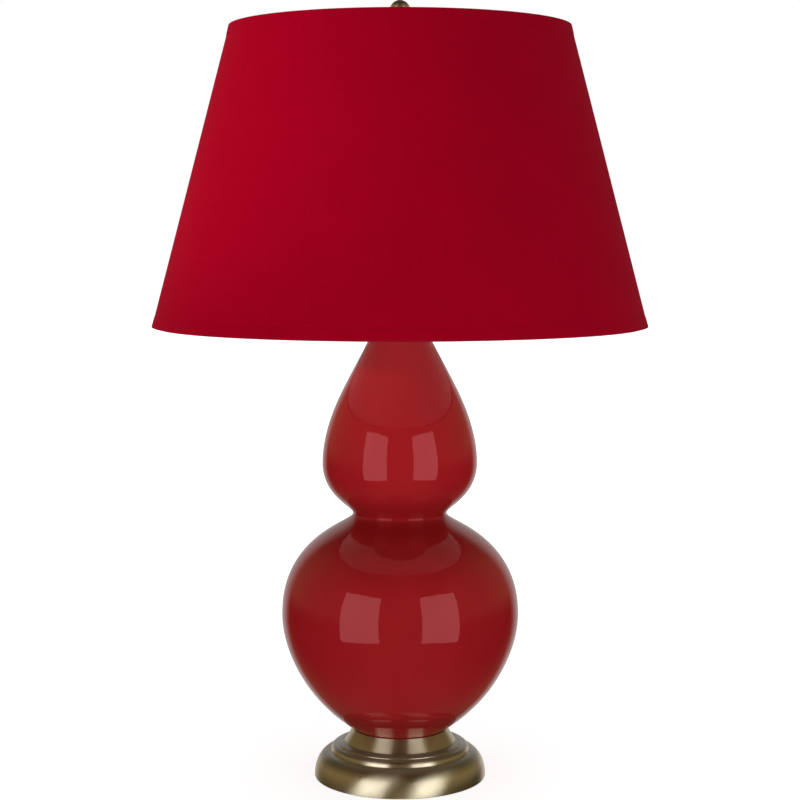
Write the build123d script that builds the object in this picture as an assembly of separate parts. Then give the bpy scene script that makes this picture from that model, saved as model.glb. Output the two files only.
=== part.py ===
from build123d import *
import os
from math import atan, cos, degrees, radians, sin, sqrt, tan

# A double gourd table lamp: a glazed ceramic body on a stepped brass pedestal, with a
# detachable harp, a turn-key socket, a bulb and a drum shade held down by a ball finial.
# Millimetres. +Z is up, the origin is on the table under the lamp's axis, and -Y is the front.

# ---- clearances -----------------------------------------------------------------------------
thread_slip = 0.1        # radial gap between a thread's plain cylinder and its hole
bond_gap = 0.1           # glue line between two skins
rest_gap = 0.2           # between a loose piece and the seat it rests on

# ---- brass pedestal -------------------------------------------------------------------------
foot_gap = 0.9           # shadow gap between the ceramic foot and the cup's wall
cup_rim_wall = 1.05
cup_depth = 4.85         # rim down to the seat of the ceramic
cup_height = 13.9        # rim down to the shoulder
cup_slope = 58.8         # degrees, the cup's outer wall from horizontal
cup_fillet = 3.3
shoulder_width = 5.2
shoulder_round = 11.0
step_height = 0.57
bead_round = 6.5
skirt_reach = 16.3       # the skirt's quarter ellipse, outwards and downwards
skirt_height = 24.7
skirt_lift = 1.5         # the widest line above the table
pedestal_wall = 2.2
seat_plate = 3.0
lip_wall = 1.6
lip_lift = 0.5           # the skirt's lip stays off the table
ledge_width = 6.0        # inward flange that the felt pad is glued to
ledge_thickness = 1.6
pad_thickness = 2.5
pad_inset = 0.5          # felt pad's edge inside the lip

# ---- pedestal's ballast and cord inlet ------------------------------------------------------
weight_radius = 54.0
weight_boss_radius = 44.0
weight_height = 20.6
weight_flange_drop = 8.8  # the flange's top below the boss's top
inlet_height = 11.0      # cord inlet's axis above the table
inlet_bore = 3.2         # radius
inlet_wall = 1.4
inlet_flange = 1.8       # flange's reach round the barrel
inlet_flange_thickness = 1.2
inlet_inner_length = 6.0
inlet_outer_length = 1.0

# ---- lamp pipe and its fastening ------------------------------------------------------------
pipe_radius = 5.1
pipe_bore = 3.5          # radius
pipe_tail = 2.0          # below the nut
pipe_grip = 7.0          # length in the socket's hub
nut_flats = 17.0
nut_height = 5.0
washer_radius = 16.0
washer_thickness = 1.5

# ---- glazed double gourd --------------------------------------------------------------------
foot_radius = 45.2
foot_height = 3.4
foot_flare = 57.0        # degrees from vertical, where the belly leaves the foot
foot_pull = 70.0         # how long the curve keeps that direction
belly_radius = 117.5
belly_rise = 116.3       # from the foot's top to the widest line
belly_pull_down = 23.9
belly_pull_up = 79.2
waist_radius = 46.4
waist_rise = 100.9
waist_pull_down = 10.6
waist_pull_up = 7.7
crown_radius = 76.4      # the upper gourd's widest line
crown_rise = 50.5
crown_pull_down = 34.2
crown_pull_up = 53.1
throat_radius = 20.0     # where the upper gourd runs into the neck
throat_rise = 145.3
throat_lean = 21.2       # degrees from vertical
throat_pull = 49.4
neck_radius = 18.5
neck_taper = 4.0
neck_height = 5.0
gourd_wall = 5.5
gourd_floor = 7.0
gourd_hole = 8.0         # radius
gasket_thickness = 1.0
foot_gasket_width = 15.0
neck_gasket_inset = 0.5

# ---- brass fittings over the neck -----------------------------------------------------------
cap_gap = 0.5
cap_wall = 2.0
cap_skirt = 4.6
cap_plate = 3.0
cap_collar_radius = 12.0
cap_collar_height = 2.4
spacer_height = 26.0
spacer_end_radius = 9.2
spacer_waist_radius = 6.9
spacer_end_height = 3.0

# ---- harp, its saddle and ferrules ----------------------------------------------------------
saddle_thickness = 1.5
saddle_half_span = 29.0
saddle_width = 9.0
saddle_hub_radius = 11.0
prong_height = 19.0
prong_width = 4.0
harp_height = 228.6      # saddle's underside to the shade's seat
harp_half_width = 58.0
harp_wire = 1.9          # radius
harp_foot_lift = 2.5     # wire's end above the saddle
harp_straight = 37.0     # saddle's underside to the first bend
harp_flare_rise = 41.0
harp_crown_drop = 55.0
harp_crown_half = 36.0
harp_bend = 24.0
ferrule_length = 15.0
ferrule_bore = 3.75      # radius
ferrule_wall = 1.0
stud_block_radius = 8.0
stud_block_height = 6.4
stud_radius = 3.1
stud_length = 13.0

# ---- socket ---------------------------------------------------------------------------------
hub_radius = 8.0
hub_height = 6.0
socket_cap_radius = 19.6
socket_cap_wall = 0.9
socket_cone_rise = 6.5
socket_cap_height = 24.0
set_screw_radius = 1.6
set_screw_head = 3.0
shell_radius = 18.5
shell_wall = 0.6
shell_start = 17.0       # shell's lower edge above the socket's underside
shell_length = 49.0
shell_bead = 0.9
liner_wall = 0.7
liner_lip = 1.0          # the cardboard stands out of the shell this far
core_start = 13.0
core_height = 23.0
core_slack = 0.4
screw_shell_bore = 13.35  # radius
screw_shell_wall = 0.5
screw_shell_length = 24.0
tongue_radius = 3.0
tongue_height = 1.5
terminal_radius = 2.6
terminal_reach = 11.5    # terminal screws' distance from the axis
terminal_head = 1.8
terminal_shank = 1.4
terminal_depth = 5.0
key_height = 30.0        # switch axis above the socket's underside
key_stem_radius = 2.4
key_stem_start = 7.0     # inner end's distance from the axis
key_stem_length = 18.0
key_hole_margin = 0.6
key_knob_radius = 5.4
key_knob_length = 12.0
key_collar_length = 4.0
key_knob_gap = 0.6       # knob clear of the shell
key_paddle_thickness = 3.2

# ---- bulb -----------------------------------------------------------------------------------
bulb_radius = 33.5
bulb_length = 133.0
bulb_neck_radius = 12.4
bulb_neck_pull = 26.0
bulb_neck_swell = 1.0
bulb_shoulder_pull = 34.0
bulb_glass = 1.0
bulb_cap_radius = 13.0
bulb_cap_wall = 0.4
bulb_cap_length = 21.5
bulb_cap_floor = 1.0
bulb_button_radius = 4.6
bulb_button_height = 1.6
bulb_insulator_height = 3.2

# ---- shade ----------------------------------------------------------------------------------
shade_bottom_radius = 241.3
shade_top_radius = 165.1
shade_height = 287.6
shade_recess = 8.0       # washer's underside below the shade's top edge
fabric_thickness = 0.6
liner_thickness = 0.9
trim_thickness = 0.5
trim_width = 10.0
ring_wire = 1.5          # radius
arm_wire = 1.6           # radius
arm_count = 3
arm_first_angle = 90.0
arm_notch_gap = 0.4
fitter_radius = 12.0
fitter_thickness = 2.0
fitter_hole_gap = 0.3

# ---- finial ---------------------------------------------------------------------------------
finial_foot_radius = 7.6
finial_foot_height = 2.6
finial_neck_radius = 4.7
finial_neck_height = 7.0
finial_ball_radius = 10.15
finial_ball_lift = 22.0  # ball's centre above the finial's foot
finial_tip_radius = 2.4
finial_tip_rise = 3.6    # tip above the ball
finial_hole_depth = 14.0

# ---- heights that follow, from the table up -------------------------------------------------
crease_z = skirt_lift + skirt_height
bead_top_z = crease_z + bead_round
step_top_z = bead_top_z + step_height
shoulder_z = step_top_z + shoulder_round - sqrt(shoulder_round**2 - shoulder_width**2)
cup_rim_z = shoulder_z + cup_height
seat_z = cup_rim_z - cup_depth
ceiling_z = seat_z - seat_plate
weight_z = ceiling_z - weight_height
nut_z = weight_z - washer_thickness - nut_height
foot_z = seat_z + gasket_thickness
belly_z = foot_z + foot_height + belly_rise
waist_z = belly_z + waist_rise
crown_z = waist_z + crown_rise
throat_z = crown_z + throat_rise
neck_z = throat_z + neck_taper
neck_top_z = neck_z + neck_height
cap_z = neck_top_z + gasket_thickness
spacer_z = cap_z + cap_plate + cap_collar_height
saddle_z = spacer_z + spacer_height
saddle_top_z = saddle_z + saddle_thickness
socket_z = saddle_top_z
shell_top_z = socket_z + shell_start + shell_length
core_top_z = socket_z + core_start + core_height
key_z = socket_z + key_height
bulb_z = core_top_z + tongue_height + rest_gap
bulb_cap_z = bulb_z + bulb_button_height + bulb_insulator_height
bulb_cap_top_z = bulb_cap_z + bulb_cap_length
harp_seat_z = saddle_z + harp_height
harp_wire_top_z = harp_seat_z - stud_block_height / 2
fitter_z = harp_seat_z + rest_gap
shade_top_z = fitter_z + shade_recess
shade_bottom_z = shade_top_z - shade_height
finial_z = fitter_z + fitter_thickness + rest_gap

# ---- radii that follow, from the ceramic foot out -------------------------------------------
cup_bore = foot_radius + foot_gap
cup_rim_radius = cup_bore + cup_rim_wall
cup_foot_radius = cup_rim_radius + cup_height / tan(radians(cup_slope))
fillet_run = cup_fillet * tan(radians(cup_slope / 2))
shoulder_radius = cup_foot_radius + fillet_run
step_radius = shoulder_radius + shoulder_width
crease_radius = step_radius + bead_round
base_radius = crease_radius + skirt_reach
pipe_hole = pipe_radius + thread_slip
harp_leg_x = saddle_half_span + bond_gap + harp_wire
ferrule_x = (saddle_half_span - saddle_thickness + harp_leg_x + harp_wire) / 2
shade_slope = atan((shade_bottom_radius - shade_top_radius) / shade_height)
shade_slant = shade_height / cos(shade_slope)
fabric_back = fabric_thickness
liner_front = fabric_back + bond_gap
liner_back = liner_front + liner_thickness
ring_depth = liner_back + bond_gap + ring_wire
trim_back = ring_depth + ring_wire + bond_gap


# ---- helpers --------------------------------------------------------------------------------
def turned(*edges):
    """A solid turned about the lamp's axis from a closed outline of radius and height."""
    return revolve(Plane.XZ * make_face(list(edges)), Axis.Z)


def turned_polygon(*points):
    """The same, from straight lines through the points."""
    return turned(Polyline(*points, close=True))


def disc(radius, low, high):
    """An upright cylinder on the lamp's axis between two heights."""
    return Pos(0, 0, low) * Cylinder(radius, high - low, align=(Align.CENTER, Align.CENTER, Align.MIN))


def tube(bore, radius, low, high):
    """An upright ring on the lamp's axis between two heights."""
    return disc(radius, low, high) - disc(bore, low, high)


def rod_y(radius, start, end, z):
    """A cylinder along Y at x = 0 and height z, from y = start to y = end."""
    length = abs(end - start)
    return Pos(0, (start + end) / 2, z) * Rot(90, 0, 0) * Cylinder(radius, length)


# ---- pedestal -------------------------------------------------------------------------------
def pedestal_outline():
    """The pedestal's outer outline, from the lip up the skirt, bead, shoulder and cup to the seat."""
    slope = radians(cup_slope)
    fillet_top = (
        cup_foot_radius - fillet_run * cos(slope),
        shoulder_z + fillet_run * sin(slope),
    )
    round_angle = degrees(atan(shoulder_width / sqrt(shoulder_round**2 - shoulder_width**2)))
    return [
        Polyline((0, lip_lift), (base_radius, lip_lift), (base_radius, skirt_lift)),
        EllipticalCenterArc((crease_radius, skirt_lift), skirt_reach, skirt_height, 0, arc_size=90),
        CenterArc((step_radius, crease_z), bead_round, 0, 90),
        Line((step_radius, bead_top_z), (step_radius, step_top_z)),
        CenterArc(
            (shoulder_radius, shoulder_z - shoulder_round), shoulder_round, 90 - round_angle, round_angle
        ),
        CenterArc((shoulder_radius, shoulder_z + cup_fillet), cup_fillet, 270 - cup_slope, cup_slope),
        Polyline(
            fillet_top,
            (cup_rim_radius, cup_rim_z),
            (cup_bore, cup_rim_z),
            (cup_bore, seat_z),
            (0, seat_z),
            (0, lip_lift),
        ),
    ]


def pedestal_cavity():
    """The hollow under the pedestal's wall, above the ledge that carries the felt pad."""
    slope = radians(cup_slope)
    shoulder_ceiling = shoulder_z - pedestal_wall
    wall_run = pedestal_wall / sin(slope)
    upper_radius = cup_rim_radius + (cup_rim_z - ceiling_z) / tan(slope) - wall_run
    lower_radius = cup_rim_radius + (cup_rim_z - shoulder_ceiling) / tan(slope) - wall_run
    hollow = turned(
        Polyline(
            (0, skirt_lift),
            (0, ceiling_z),
            (upper_radius, ceiling_z),
            (lower_radius, shoulder_ceiling),
            (shoulder_radius, shoulder_ceiling),
            (crease_radius, crease_z - pedestal_wall),
        ),
        EllipticalCenterArc(
            (crease_radius, skirt_lift),
            skirt_reach - pedestal_wall,
            skirt_height - pedestal_wall,
            0,
            arc_size=90,
        ),
        Line((base_radius - pedestal_wall, skirt_lift), (0, skirt_lift)),
    )
    return hollow & disc(base_radius, pad_thickness + ledge_thickness, cup_rim_z)


def base_shell():
    shell = turned(*pedestal_outline()) - pedestal_cavity()
    shell -= disc(base_radius - lip_wall - ledge_width, 0, pad_thickness + ledge_thickness)
    shell -= disc(base_radius - lip_wall, 0, pad_thickness)
    shell -= disc(pipe_hole, ceiling_z, seat_z)
    return shell - rod_y(inlet_bore + inlet_wall + thread_slip, 0, base_radius, inlet_height)


def base_pad():
    return disc(base_radius - lip_wall - pad_inset, 0, pad_thickness)


def base_weight():
    flange_top = ceiling_z - weight_flange_drop
    slug = disc(weight_radius, weight_z, flange_top) + disc(weight_boss_radius, weight_z, ceiling_z)
    return slug - disc(pipe_hole, weight_z, ceiling_z)


def skirt_solid(extra):
    """The skirt grown outwards by extra, to shape what lies on it."""
    return turned(
        Polyline((0, skirt_lift), (base_radius + extra, skirt_lift)),
        EllipticalCenterArc(
            (crease_radius, skirt_lift), skirt_reach + extra, skirt_height + extra, 0, arc_size=90
        ),
        Polyline((crease_radius, crease_z + extra), (0, crease_z + extra), (0, skirt_lift)),
    )


def cord_inlet():
    """A rubber bushing at the back of the skirt, its flange curved to the brass."""
    barrel_radius = inlet_bore + inlet_wall
    inner_end = base_radius - pedestal_wall - inlet_inner_length
    outer_end = base_radius + inlet_flange_thickness + inlet_outer_length
    flange = skirt_solid(bond_gap + inlet_flange_thickness) - skirt_solid(bond_gap)
    flange &= rod_y(barrel_radius + inlet_flange, inner_end, outer_end, inlet_height)
    bushing = flange + rod_y(barrel_radius, inner_end, outer_end, inlet_height)
    return bushing - rod_y(inlet_bore, inner_end, outer_end, inlet_height)


def pipe_washer():
    return tube(pipe_hole, washer_radius, weight_z - washer_thickness, weight_z)


def pipe_nut():
    hexagon = RegularPolygon(nut_flats / 2, 6, major_radius=False) - Circle(pipe_hole)
    return Pos(0, 0, nut_z) * extrude(hexagon, nut_height)


def lamp_pipe():
    return tube(pipe_bore, pipe_radius, nut_z - pipe_tail, socket_z + pipe_grip)


# ---- gourd ----------------------------------------------------------------------------------
def gourd_curves(inset):
    """The gourd's side from the foot's top to the throat, moved towards the axis by inset."""
    flare, lean = radians(foot_flare), radians(throat_lean)
    foot = (foot_radius - inset, foot_z + foot_height)
    belly = (belly_radius - inset, belly_z)
    waist = (waist_radius - inset, waist_z)
    crown = (crown_radius - inset, crown_z)
    throat = (throat_radius - inset, throat_z)
    return [
        Bezier(
            foot,
            (foot[0] + foot_pull * sin(flare), foot[1] + foot_pull * cos(flare)),
            (belly[0], belly_z - belly_pull_down),
            belly,
        ),
        Bezier(belly, (belly[0], belly_z + belly_pull_up), (waist[0], waist_z - waist_pull_down), waist),
        Bezier(waist, (waist[0], waist_z + waist_pull_up), (crown[0], crown_z - crown_pull_down), crown),
        Bezier(
            crown,
            (crown[0], crown_z + crown_pull_up),
            (throat[0] + throat_pull * sin(lean), throat_z - throat_pull * cos(lean)),
            throat,
        ),
    ]


def gourd_solid(inset, bottom, top):
    """The gourd as a full solid, its side moved towards the axis by inset."""
    return turned(
        Polyline((0, bottom), (foot_radius - inset, bottom), (foot_radius - inset, foot_z + foot_height)),
        *gourd_curves(inset),
        Polyline(
            (throat_radius - inset, throat_z),
            (neck_radius - inset, neck_z),
            (neck_radius - inset, top),
            (0, top),
            (0, bottom),
        ),
    )


def gourd_body():
    floor_top = foot_z + gourd_floor
    inside = gourd_solid(gourd_wall, foot_z, neck_top_z) & disc(belly_radius, floor_top, neck_top_z)
    return gourd_solid(0, foot_z, neck_top_z) - inside - disc(gourd_hole, foot_z, floor_top)


def foot_gasket():
    return tube(foot_radius - foot_gasket_width, foot_radius, seat_z, foot_z)


def neck_gasket():
    return tube(neck_radius - gourd_wall, neck_radius - neck_gasket_inset, neck_top_z, cap_z)


# ---- neck fittings --------------------------------------------------------------------------
def vase_cap():
    bore = neck_radius + cap_gap
    rim = bore + cap_wall
    bottom, plate_top = cap_z - cap_skirt, cap_z + cap_plate
    collar_top = plate_top + cap_collar_height
    return turned(
        Polyline((bore, bottom), (rim, bottom), (rim, cap_z)),
        EllipticalCenterArc((rim - cap_plate, cap_z), cap_plate, cap_plate, 0, arc_size=90),
        Polyline(
            (rim - cap_plate, plate_top),
            (cap_collar_radius, plate_top),
            (cap_collar_radius, collar_top),
            (pipe_hole, collar_top),
            (pipe_hole, cap_z),
            (bore, cap_z),
            (bore, bottom),
        ),
    )


def neck_spacer():
    low, high = spacer_z + spacer_end_height, saddle_z - spacer_end_height
    return turned(
        Polyline((pipe_hole, spacer_z), (spacer_end_radius, spacer_z), (spacer_end_radius, low)),
        ThreePointArc(
            (spacer_end_radius, low), (spacer_waist_radius, (low + high) / 2), (spacer_end_radius, high)
        ),
        Polyline(
            (spacer_end_radius, high),
            (spacer_end_radius, saddle_z),
            (pipe_hole, saddle_z),
            (pipe_hole, spacer_z),
        ),
    )


# ---- harp -----------------------------------------------------------------------------------
def harp_saddle():
    """A bent strip that the socket clamps, with a narrow prong standing up at each end."""
    bar = Pos(0, 0, saddle_z) * Box(
        2 * saddle_half_span, saddle_width, saddle_thickness, align=(Align.CENTER, Align.CENTER, Align.MIN)
    )
    saddle = bar + disc(saddle_hub_radius, saddle_z, saddle_top_z)
    for side in (-1, 1):
        centre = side * (saddle_half_span - saddle_thickness / 2)
        saddle += Pos(centre, 0, saddle_z) * Box(
            saddle_thickness,
            prong_width,
            saddle_thickness + prong_height,
            align=(Align.CENTER, Align.CENTER, Align.MIN),
        )
    return saddle - disc(pipe_hole, saddle_z, saddle_top_z)


def harp_bow():
    """One bent wire: up from the saddle, out round the bulb and over the top."""
    foot = saddle_top_z + harp_foot_lift
    bend = saddle_z + harp_straight
    side = [
        (harp_leg_x, foot),
        (harp_leg_x, bend),
        (harp_half_width, bend + harp_flare_rise),
        (harp_half_width, harp_wire_top_z - harp_crown_drop),
        (harp_crown_half, harp_wire_top_z),
    ]
    left = [(-x, z) for x, z in side]
    path = Plane.XZ * FilletPolyline(*left, *reversed(side), radius=harp_bend)
    section = Plane(origin=(-harp_leg_x, 0, foot), z_dir=(0, 0, 1)) * Circle(harp_wire)
    return sweep(section, path=path)


def harp_stud():
    """The block on the harp's crown, with the threaded stud that takes the shade and finial."""
    block = disc(stud_block_radius, harp_seat_z - stud_block_height, harp_seat_z)
    stud = block + disc(stud_radius, harp_seat_z, harp_seat_z + stud_length)
    wire_hole = Cylinder(harp_wire + thread_slip, 3 * stud_block_radius)
    return stud - Pos(0, 0, harp_wire_top_z) * Rot(0, 90, 0) * wire_hole


def ferrule(side):
    """A sleeve that locks the harp's leg to the saddle's prong."""
    sleeve = tube(ferrule_bore, ferrule_bore + ferrule_wall, 0, ferrule_length)
    return Pos(side * ferrule_x, 0, saddle_top_z + rest_gap) * sleeve


# ---- socket ---------------------------------------------------------------------------------
def socket_cap():
    outer, inner = socket_cap_radius, socket_cap_radius - socket_cap_wall
    cone_z = socket_z + hub_height
    cup_z = cone_z + socket_cone_rise
    top_z = socket_z + socket_cap_height
    cap = turned_polygon(
        (pipe_hole, socket_z),
        (hub_radius, socket_z),
        (hub_radius, cone_z),
        (outer, cup_z),
        (outer, top_z),
        (inner, top_z),
        (inner, cup_z + socket_cap_wall / 2),
        (hub_radius, cone_z + socket_cap_wall),
        (pipe_hole, cone_z + socket_cap_wall),
    )
    return cap - rod_y(set_screw_radius + thread_slip, 0, hub_radius + rest_gap, socket_z + hub_height / 2)


def socket_set_screw():
    height = socket_z + hub_height / 2
    return rod_y(set_screw_radius, pipe_radius + thread_slip, hub_radius + set_screw_head, height)


def socket_shell():
    bottom = socket_z + shell_start
    bore = shell_radius - shell_wall
    bead_centre_z = shell_top_z - shell_bead
    shell = turned(
        Polyline(
            (shell_radius, bead_centre_z - shell_bead),
            (shell_radius, bottom),
            (bore, bottom),
            (bore, shell_top_z),
            (shell_radius, shell_top_z),
        ),
        CenterArc((shell_radius, bead_centre_z), shell_bead, -90, 180),
    )
    return shell - rod_y(key_stem_radius + key_hole_margin, -2 * shell_radius, 0, key_z)


def socket_liner():
    outer = shell_radius - shell_wall - thread_slip
    liner = tube(outer - liner_wall, outer, socket_z + shell_start, shell_top_z + liner_lip)
    return liner - rod_y(key_stem_radius + key_hole_margin, -2 * shell_radius, 0, key_z)


def socket_core():
    radius = shell_radius - shell_wall - thread_slip - liner_wall - core_slack
    core = disc(radius, socket_z + core_start, core_top_z)
    for side in (-1, 1):
        core -= Pos(side * terminal_reach, 0, 0) * disc(
            terminal_shank + thread_slip, socket_z + core_start, socket_z + core_start + terminal_depth
        )
    return core - rod_y(key_stem_radius + thread_slip, -2 * shell_radius, -key_stem_start + rest_gap, key_z)


def terminal_screws():
    """Two binding screws in the core's underside."""
    start = socket_z + core_start
    screw = disc(terminal_radius, start - terminal_head, start)
    screw += disc(terminal_shank, start, start + terminal_depth - rest_gap)
    return Compound([Pos(side * terminal_reach, 0, 0) * screw for side in (-1, 1)])


def socket_screw_shell():
    outer = screw_shell_bore + screw_shell_wall
    return tube(screw_shell_bore, outer, core_top_z, core_top_z + screw_shell_length)


def socket_tongue():
    return disc(tongue_radius, core_top_z, core_top_z + tongue_height)


def switch_stem():
    return rod_y(key_stem_radius, -key_stem_start, -key_stem_start - key_stem_length, key_z)


def switch_knob():
    """A flat-sided turn key on the stem's outer end."""
    near = -shell_radius - key_knob_gap
    far = near - key_knob_length
    collar = rod_y(key_knob_radius, near, near - key_collar_length, key_z)
    blade = Box(key_paddle_thickness, key_knob_length, 2 * key_knob_radius)
    paddle = Pos(0, (near + far) / 2, key_z) * blade
    grip = rod_y(key_stem_radius + key_paddle_thickness / 2, near, far, key_z)
    stem_end = -key_stem_start - key_stem_length
    return collar + paddle + grip - rod_y(key_stem_radius + bond_gap, near, stem_end, key_z)


# ---- bulb -----------------------------------------------------------------------------------
def bulb_outline(inset):
    """The glass from the neck to the top, moved inwards by inset."""
    top = bulb_z + bulb_length - inset
    centre = bulb_z + bulb_length - bulb_radius
    neck, wide = bulb_neck_radius - inset, bulb_radius - inset
    return turned(
        Polyline((0, bulb_cap_top_z), (neck, bulb_cap_top_z)),
        Bezier(
            (neck, bulb_cap_top_z),
            (neck + bulb_neck_swell, bulb_cap_top_z + bulb_neck_pull),
            (wide, centre - bulb_shoulder_pull),
            (wide, centre),
        ),
        CenterArc((0, centre), wide, 0, 90),
        Line((0, top), (0, bulb_cap_top_z)),
    )


def bulb_globe():
    return bulb_outline(0) - bulb_outline(bulb_glass)


def bulb_cap():
    cup = disc(bulb_cap_radius, bulb_cap_z, bulb_cap_top_z)
    return cup - disc(bulb_cap_radius - bulb_cap_wall, bulb_cap_z + bulb_cap_floor, bulb_cap_top_z)


def bulb_insulator():
    top = bulb_cap_z
    bottom = top - bulb_insulator_height
    upper = bulb_cap_radius - bulb_cap_wall
    return turned_polygon((0, bottom), (bulb_button_radius, bottom), (upper, top), (0, top))


def bulb_button():
    return disc(bulb_button_radius, bulb_z, bulb_z + bulb_button_height)


# ---- shade ----------------------------------------------------------------------------------
def shade_point(along, depth):
    """Radius and height of a point on the shade's wall: along the slant from the bottom, depth inwards."""
    outward = -depth
    return (
        shade_bottom_radius - along * sin(shade_slope) + outward * cos(shade_slope),
        shade_bottom_z + along * cos(shade_slope) + outward * sin(shade_slope),
    )


def shade_wall(front, back):
    """A conical skin between two depths, the whole slant long."""
    return turned_polygon(
        shade_point(0, front),
        shade_point(shade_slant, front),
        shade_point(shade_slant, back),
        shade_point(0, back),
    )


def shade_fabric():
    return shade_wall(0, fabric_back)


def shade_liner():
    return shade_wall(liner_front, liner_back)


def hem(edge, inwards):
    """A folded strip round an edge of the shade: over the fabric outside and round the wire inside."""
    outside = -bond_gap
    lip = edge - inwards * bond_gap
    fold = lip - inwards * trim_thickness
    outer_end = edge + inwards * trim_width
    inner_end = edge + inwards * (2 * ring_wire + trim_thickness)
    return turned_polygon(
        shade_point(outer_end, outside),
        shade_point(outer_end, outside - trim_thickness),
        shade_point(fold, outside - trim_thickness),
        shade_point(fold, trim_back + trim_thickness),
        shade_point(inner_end, trim_back + trim_thickness),
        shade_point(inner_end, trim_back),
        shade_point(lip, trim_back),
        shade_point(lip, outside),
    )


def ring_place(edge, inwards):
    """Centre line of a wire ring held in a hem, as radius and height."""
    return shade_point(edge + inwards * ring_wire, ring_depth)


def wire_ring(edge, inwards):
    radius, height = ring_place(edge, inwards)
    return Pos(0, 0, height) * Torus(radius, ring_wire)


def arm(angle, wire, inner):
    """A straight spider arm from the fitter out to the top ring."""
    ring_radius, ring_z = ring_place(shade_slant, -1)
    rise = ring_z - (fitter_z + fitter_thickness / 2)
    run = ring_radius - inner
    length = sqrt(run**2 + rise**2)
    rod = Cylinder(wire, length, align=(Align.CENTER, Align.CENTER, Align.MIN))
    start = Pos(inner, 0, fitter_z + fitter_thickness / 2) * Rot(0, 90 - degrees(atan(rise / run)), 0)
    return Rot(0, 0, angle) * start * rod


def arm_angles():
    return [arm_first_angle + i * 360 / arm_count for i in range(arm_count)]


def shade_top_trim():
    trim = hem(shade_slant, -1)
    for angle in arm_angles():
        trim -= arm(angle, arm_wire + arm_notch_gap, fitter_radius)
    return trim


def shade_bottom_trim():
    return hem(0, 1)


def shade_bottom_ring():
    return wire_ring(0, 1)


def shade_spider():
    """The top ring, its arms and the fitter washer, welded into one piece."""
    spider = wire_ring(shade_slant, -1)
    for angle in arm_angles():
        spider += arm(angle, arm_wire, fitter_radius - arm_wire)
    spider += disc(fitter_radius, fitter_z, fitter_z + fitter_thickness)
    return spider - disc(stud_radius + fitter_hole_gap, fitter_z, fitter_z + fitter_thickness)


# ---- finial ---------------------------------------------------------------------------------
def finial():
    """A turned foot and neck under a ball with a small tip."""
    foot_top = finial_z + finial_foot_height
    neck_top = foot_top + finial_neck_height
    centre = finial_z + finial_ball_lift
    ball_drop = sqrt(finial_ball_radius**2 - finial_neck_radius**2)
    ball_rise = sqrt(finial_ball_radius**2 - finial_tip_radius**2)
    tip_z = centre + finial_ball_radius + finial_tip_rise - finial_tip_radius
    body = turned(
        Polyline((0, finial_z), (finial_foot_radius, finial_z), (finial_foot_radius, foot_top)),
        Spline(
            (finial_foot_radius, foot_top),
            (finial_neck_radius, neck_top),
            tangents=((-1, 0.4), (0, 1)),
        ),
        Line((finial_neck_radius, neck_top), (finial_neck_radius, centre - ball_drop)),
        ThreePointArc(
            (finial_neck_radius, centre - ball_drop),
            (finial_ball_radius, centre),
            (finial_tip_radius, centre + ball_rise),
        ),
        Line((finial_tip_radius, centre + ball_rise), (finial_tip_radius, tip_z)),
        CenterArc((0, tip_z), finial_tip_radius, 0, 90),
        Line((0, tip_z + finial_tip_radius), (0, finial_z)),
    )
    return body - disc(stud_radius + thread_slip, finial_z, finial_z + finial_hole_depth)


def ferrule_left():
    return ferrule(-1)


def ferrule_right():
    return ferrule(1)


PIECES = [
    base_shell, base_pad, base_weight, cord_inlet, pipe_washer, pipe_nut, lamp_pipe,
    foot_gasket, gourd_body, neck_gasket, vase_cap, neck_spacer,
    harp_saddle, harp_bow, harp_stud, ferrule_left, ferrule_right,
    socket_cap, socket_set_screw, socket_shell, socket_liner, socket_core, terminal_screws,
    socket_screw_shell, socket_tongue, switch_stem, switch_knob,
    bulb_globe, bulb_cap, bulb_insulator, bulb_button,
    shade_fabric, shade_liner, shade_top_trim, shade_bottom_trim, shade_bottom_ring, shade_spider,
    finial,
]

os.makedirs("parts", exist_ok=True)
for piece in PIECES:
    export_step(piece(), f"parts/{piece.__name__}.step")
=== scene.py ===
from math import atan, atan2, cos, degrees, pi, radians, sin, sqrt, tan

import bmesh
import bpy
from mathutils import Matrix, Vector


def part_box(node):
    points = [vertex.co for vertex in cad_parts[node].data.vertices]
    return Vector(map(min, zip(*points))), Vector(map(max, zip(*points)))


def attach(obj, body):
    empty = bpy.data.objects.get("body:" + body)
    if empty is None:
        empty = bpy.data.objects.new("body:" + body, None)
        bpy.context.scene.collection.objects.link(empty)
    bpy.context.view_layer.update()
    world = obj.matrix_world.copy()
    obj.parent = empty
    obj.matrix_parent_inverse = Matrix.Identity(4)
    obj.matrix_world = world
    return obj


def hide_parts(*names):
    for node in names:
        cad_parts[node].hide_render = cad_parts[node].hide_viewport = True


# A double gourd table lamp, dressed for the render: glazed ceramic, stepped brass pedestal, harp,
# turn-key socket, bulb, cloth shade and ball finial. The frame is +Z up, with the lamp's front
# towards -Y. Sizes are in millimetres, and outlines are (radius, height) pairs about the lamp's axis,
# except in the finishes and the studio, which are in metres.

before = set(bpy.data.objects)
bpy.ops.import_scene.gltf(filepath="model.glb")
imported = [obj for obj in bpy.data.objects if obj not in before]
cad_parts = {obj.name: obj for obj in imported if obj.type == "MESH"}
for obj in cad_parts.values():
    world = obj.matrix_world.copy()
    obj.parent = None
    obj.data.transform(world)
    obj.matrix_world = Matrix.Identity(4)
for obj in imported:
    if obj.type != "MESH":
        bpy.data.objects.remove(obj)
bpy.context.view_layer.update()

MM = 0.001
BACK = pi / 2            # angle of the lamp's back about +Z, where the shade's cloth is lapped


def low(node):
    """A node's lowest height in millimetres."""
    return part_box(node)[0].z / MM


def high(node):
    """A node's greatest height in millimetres."""
    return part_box(node)[1].z / MM


def reach(node):
    """A node's greatest distance from the lamp's axis, for a piece that is round about it."""
    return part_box(node)[1].x / MM


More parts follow.
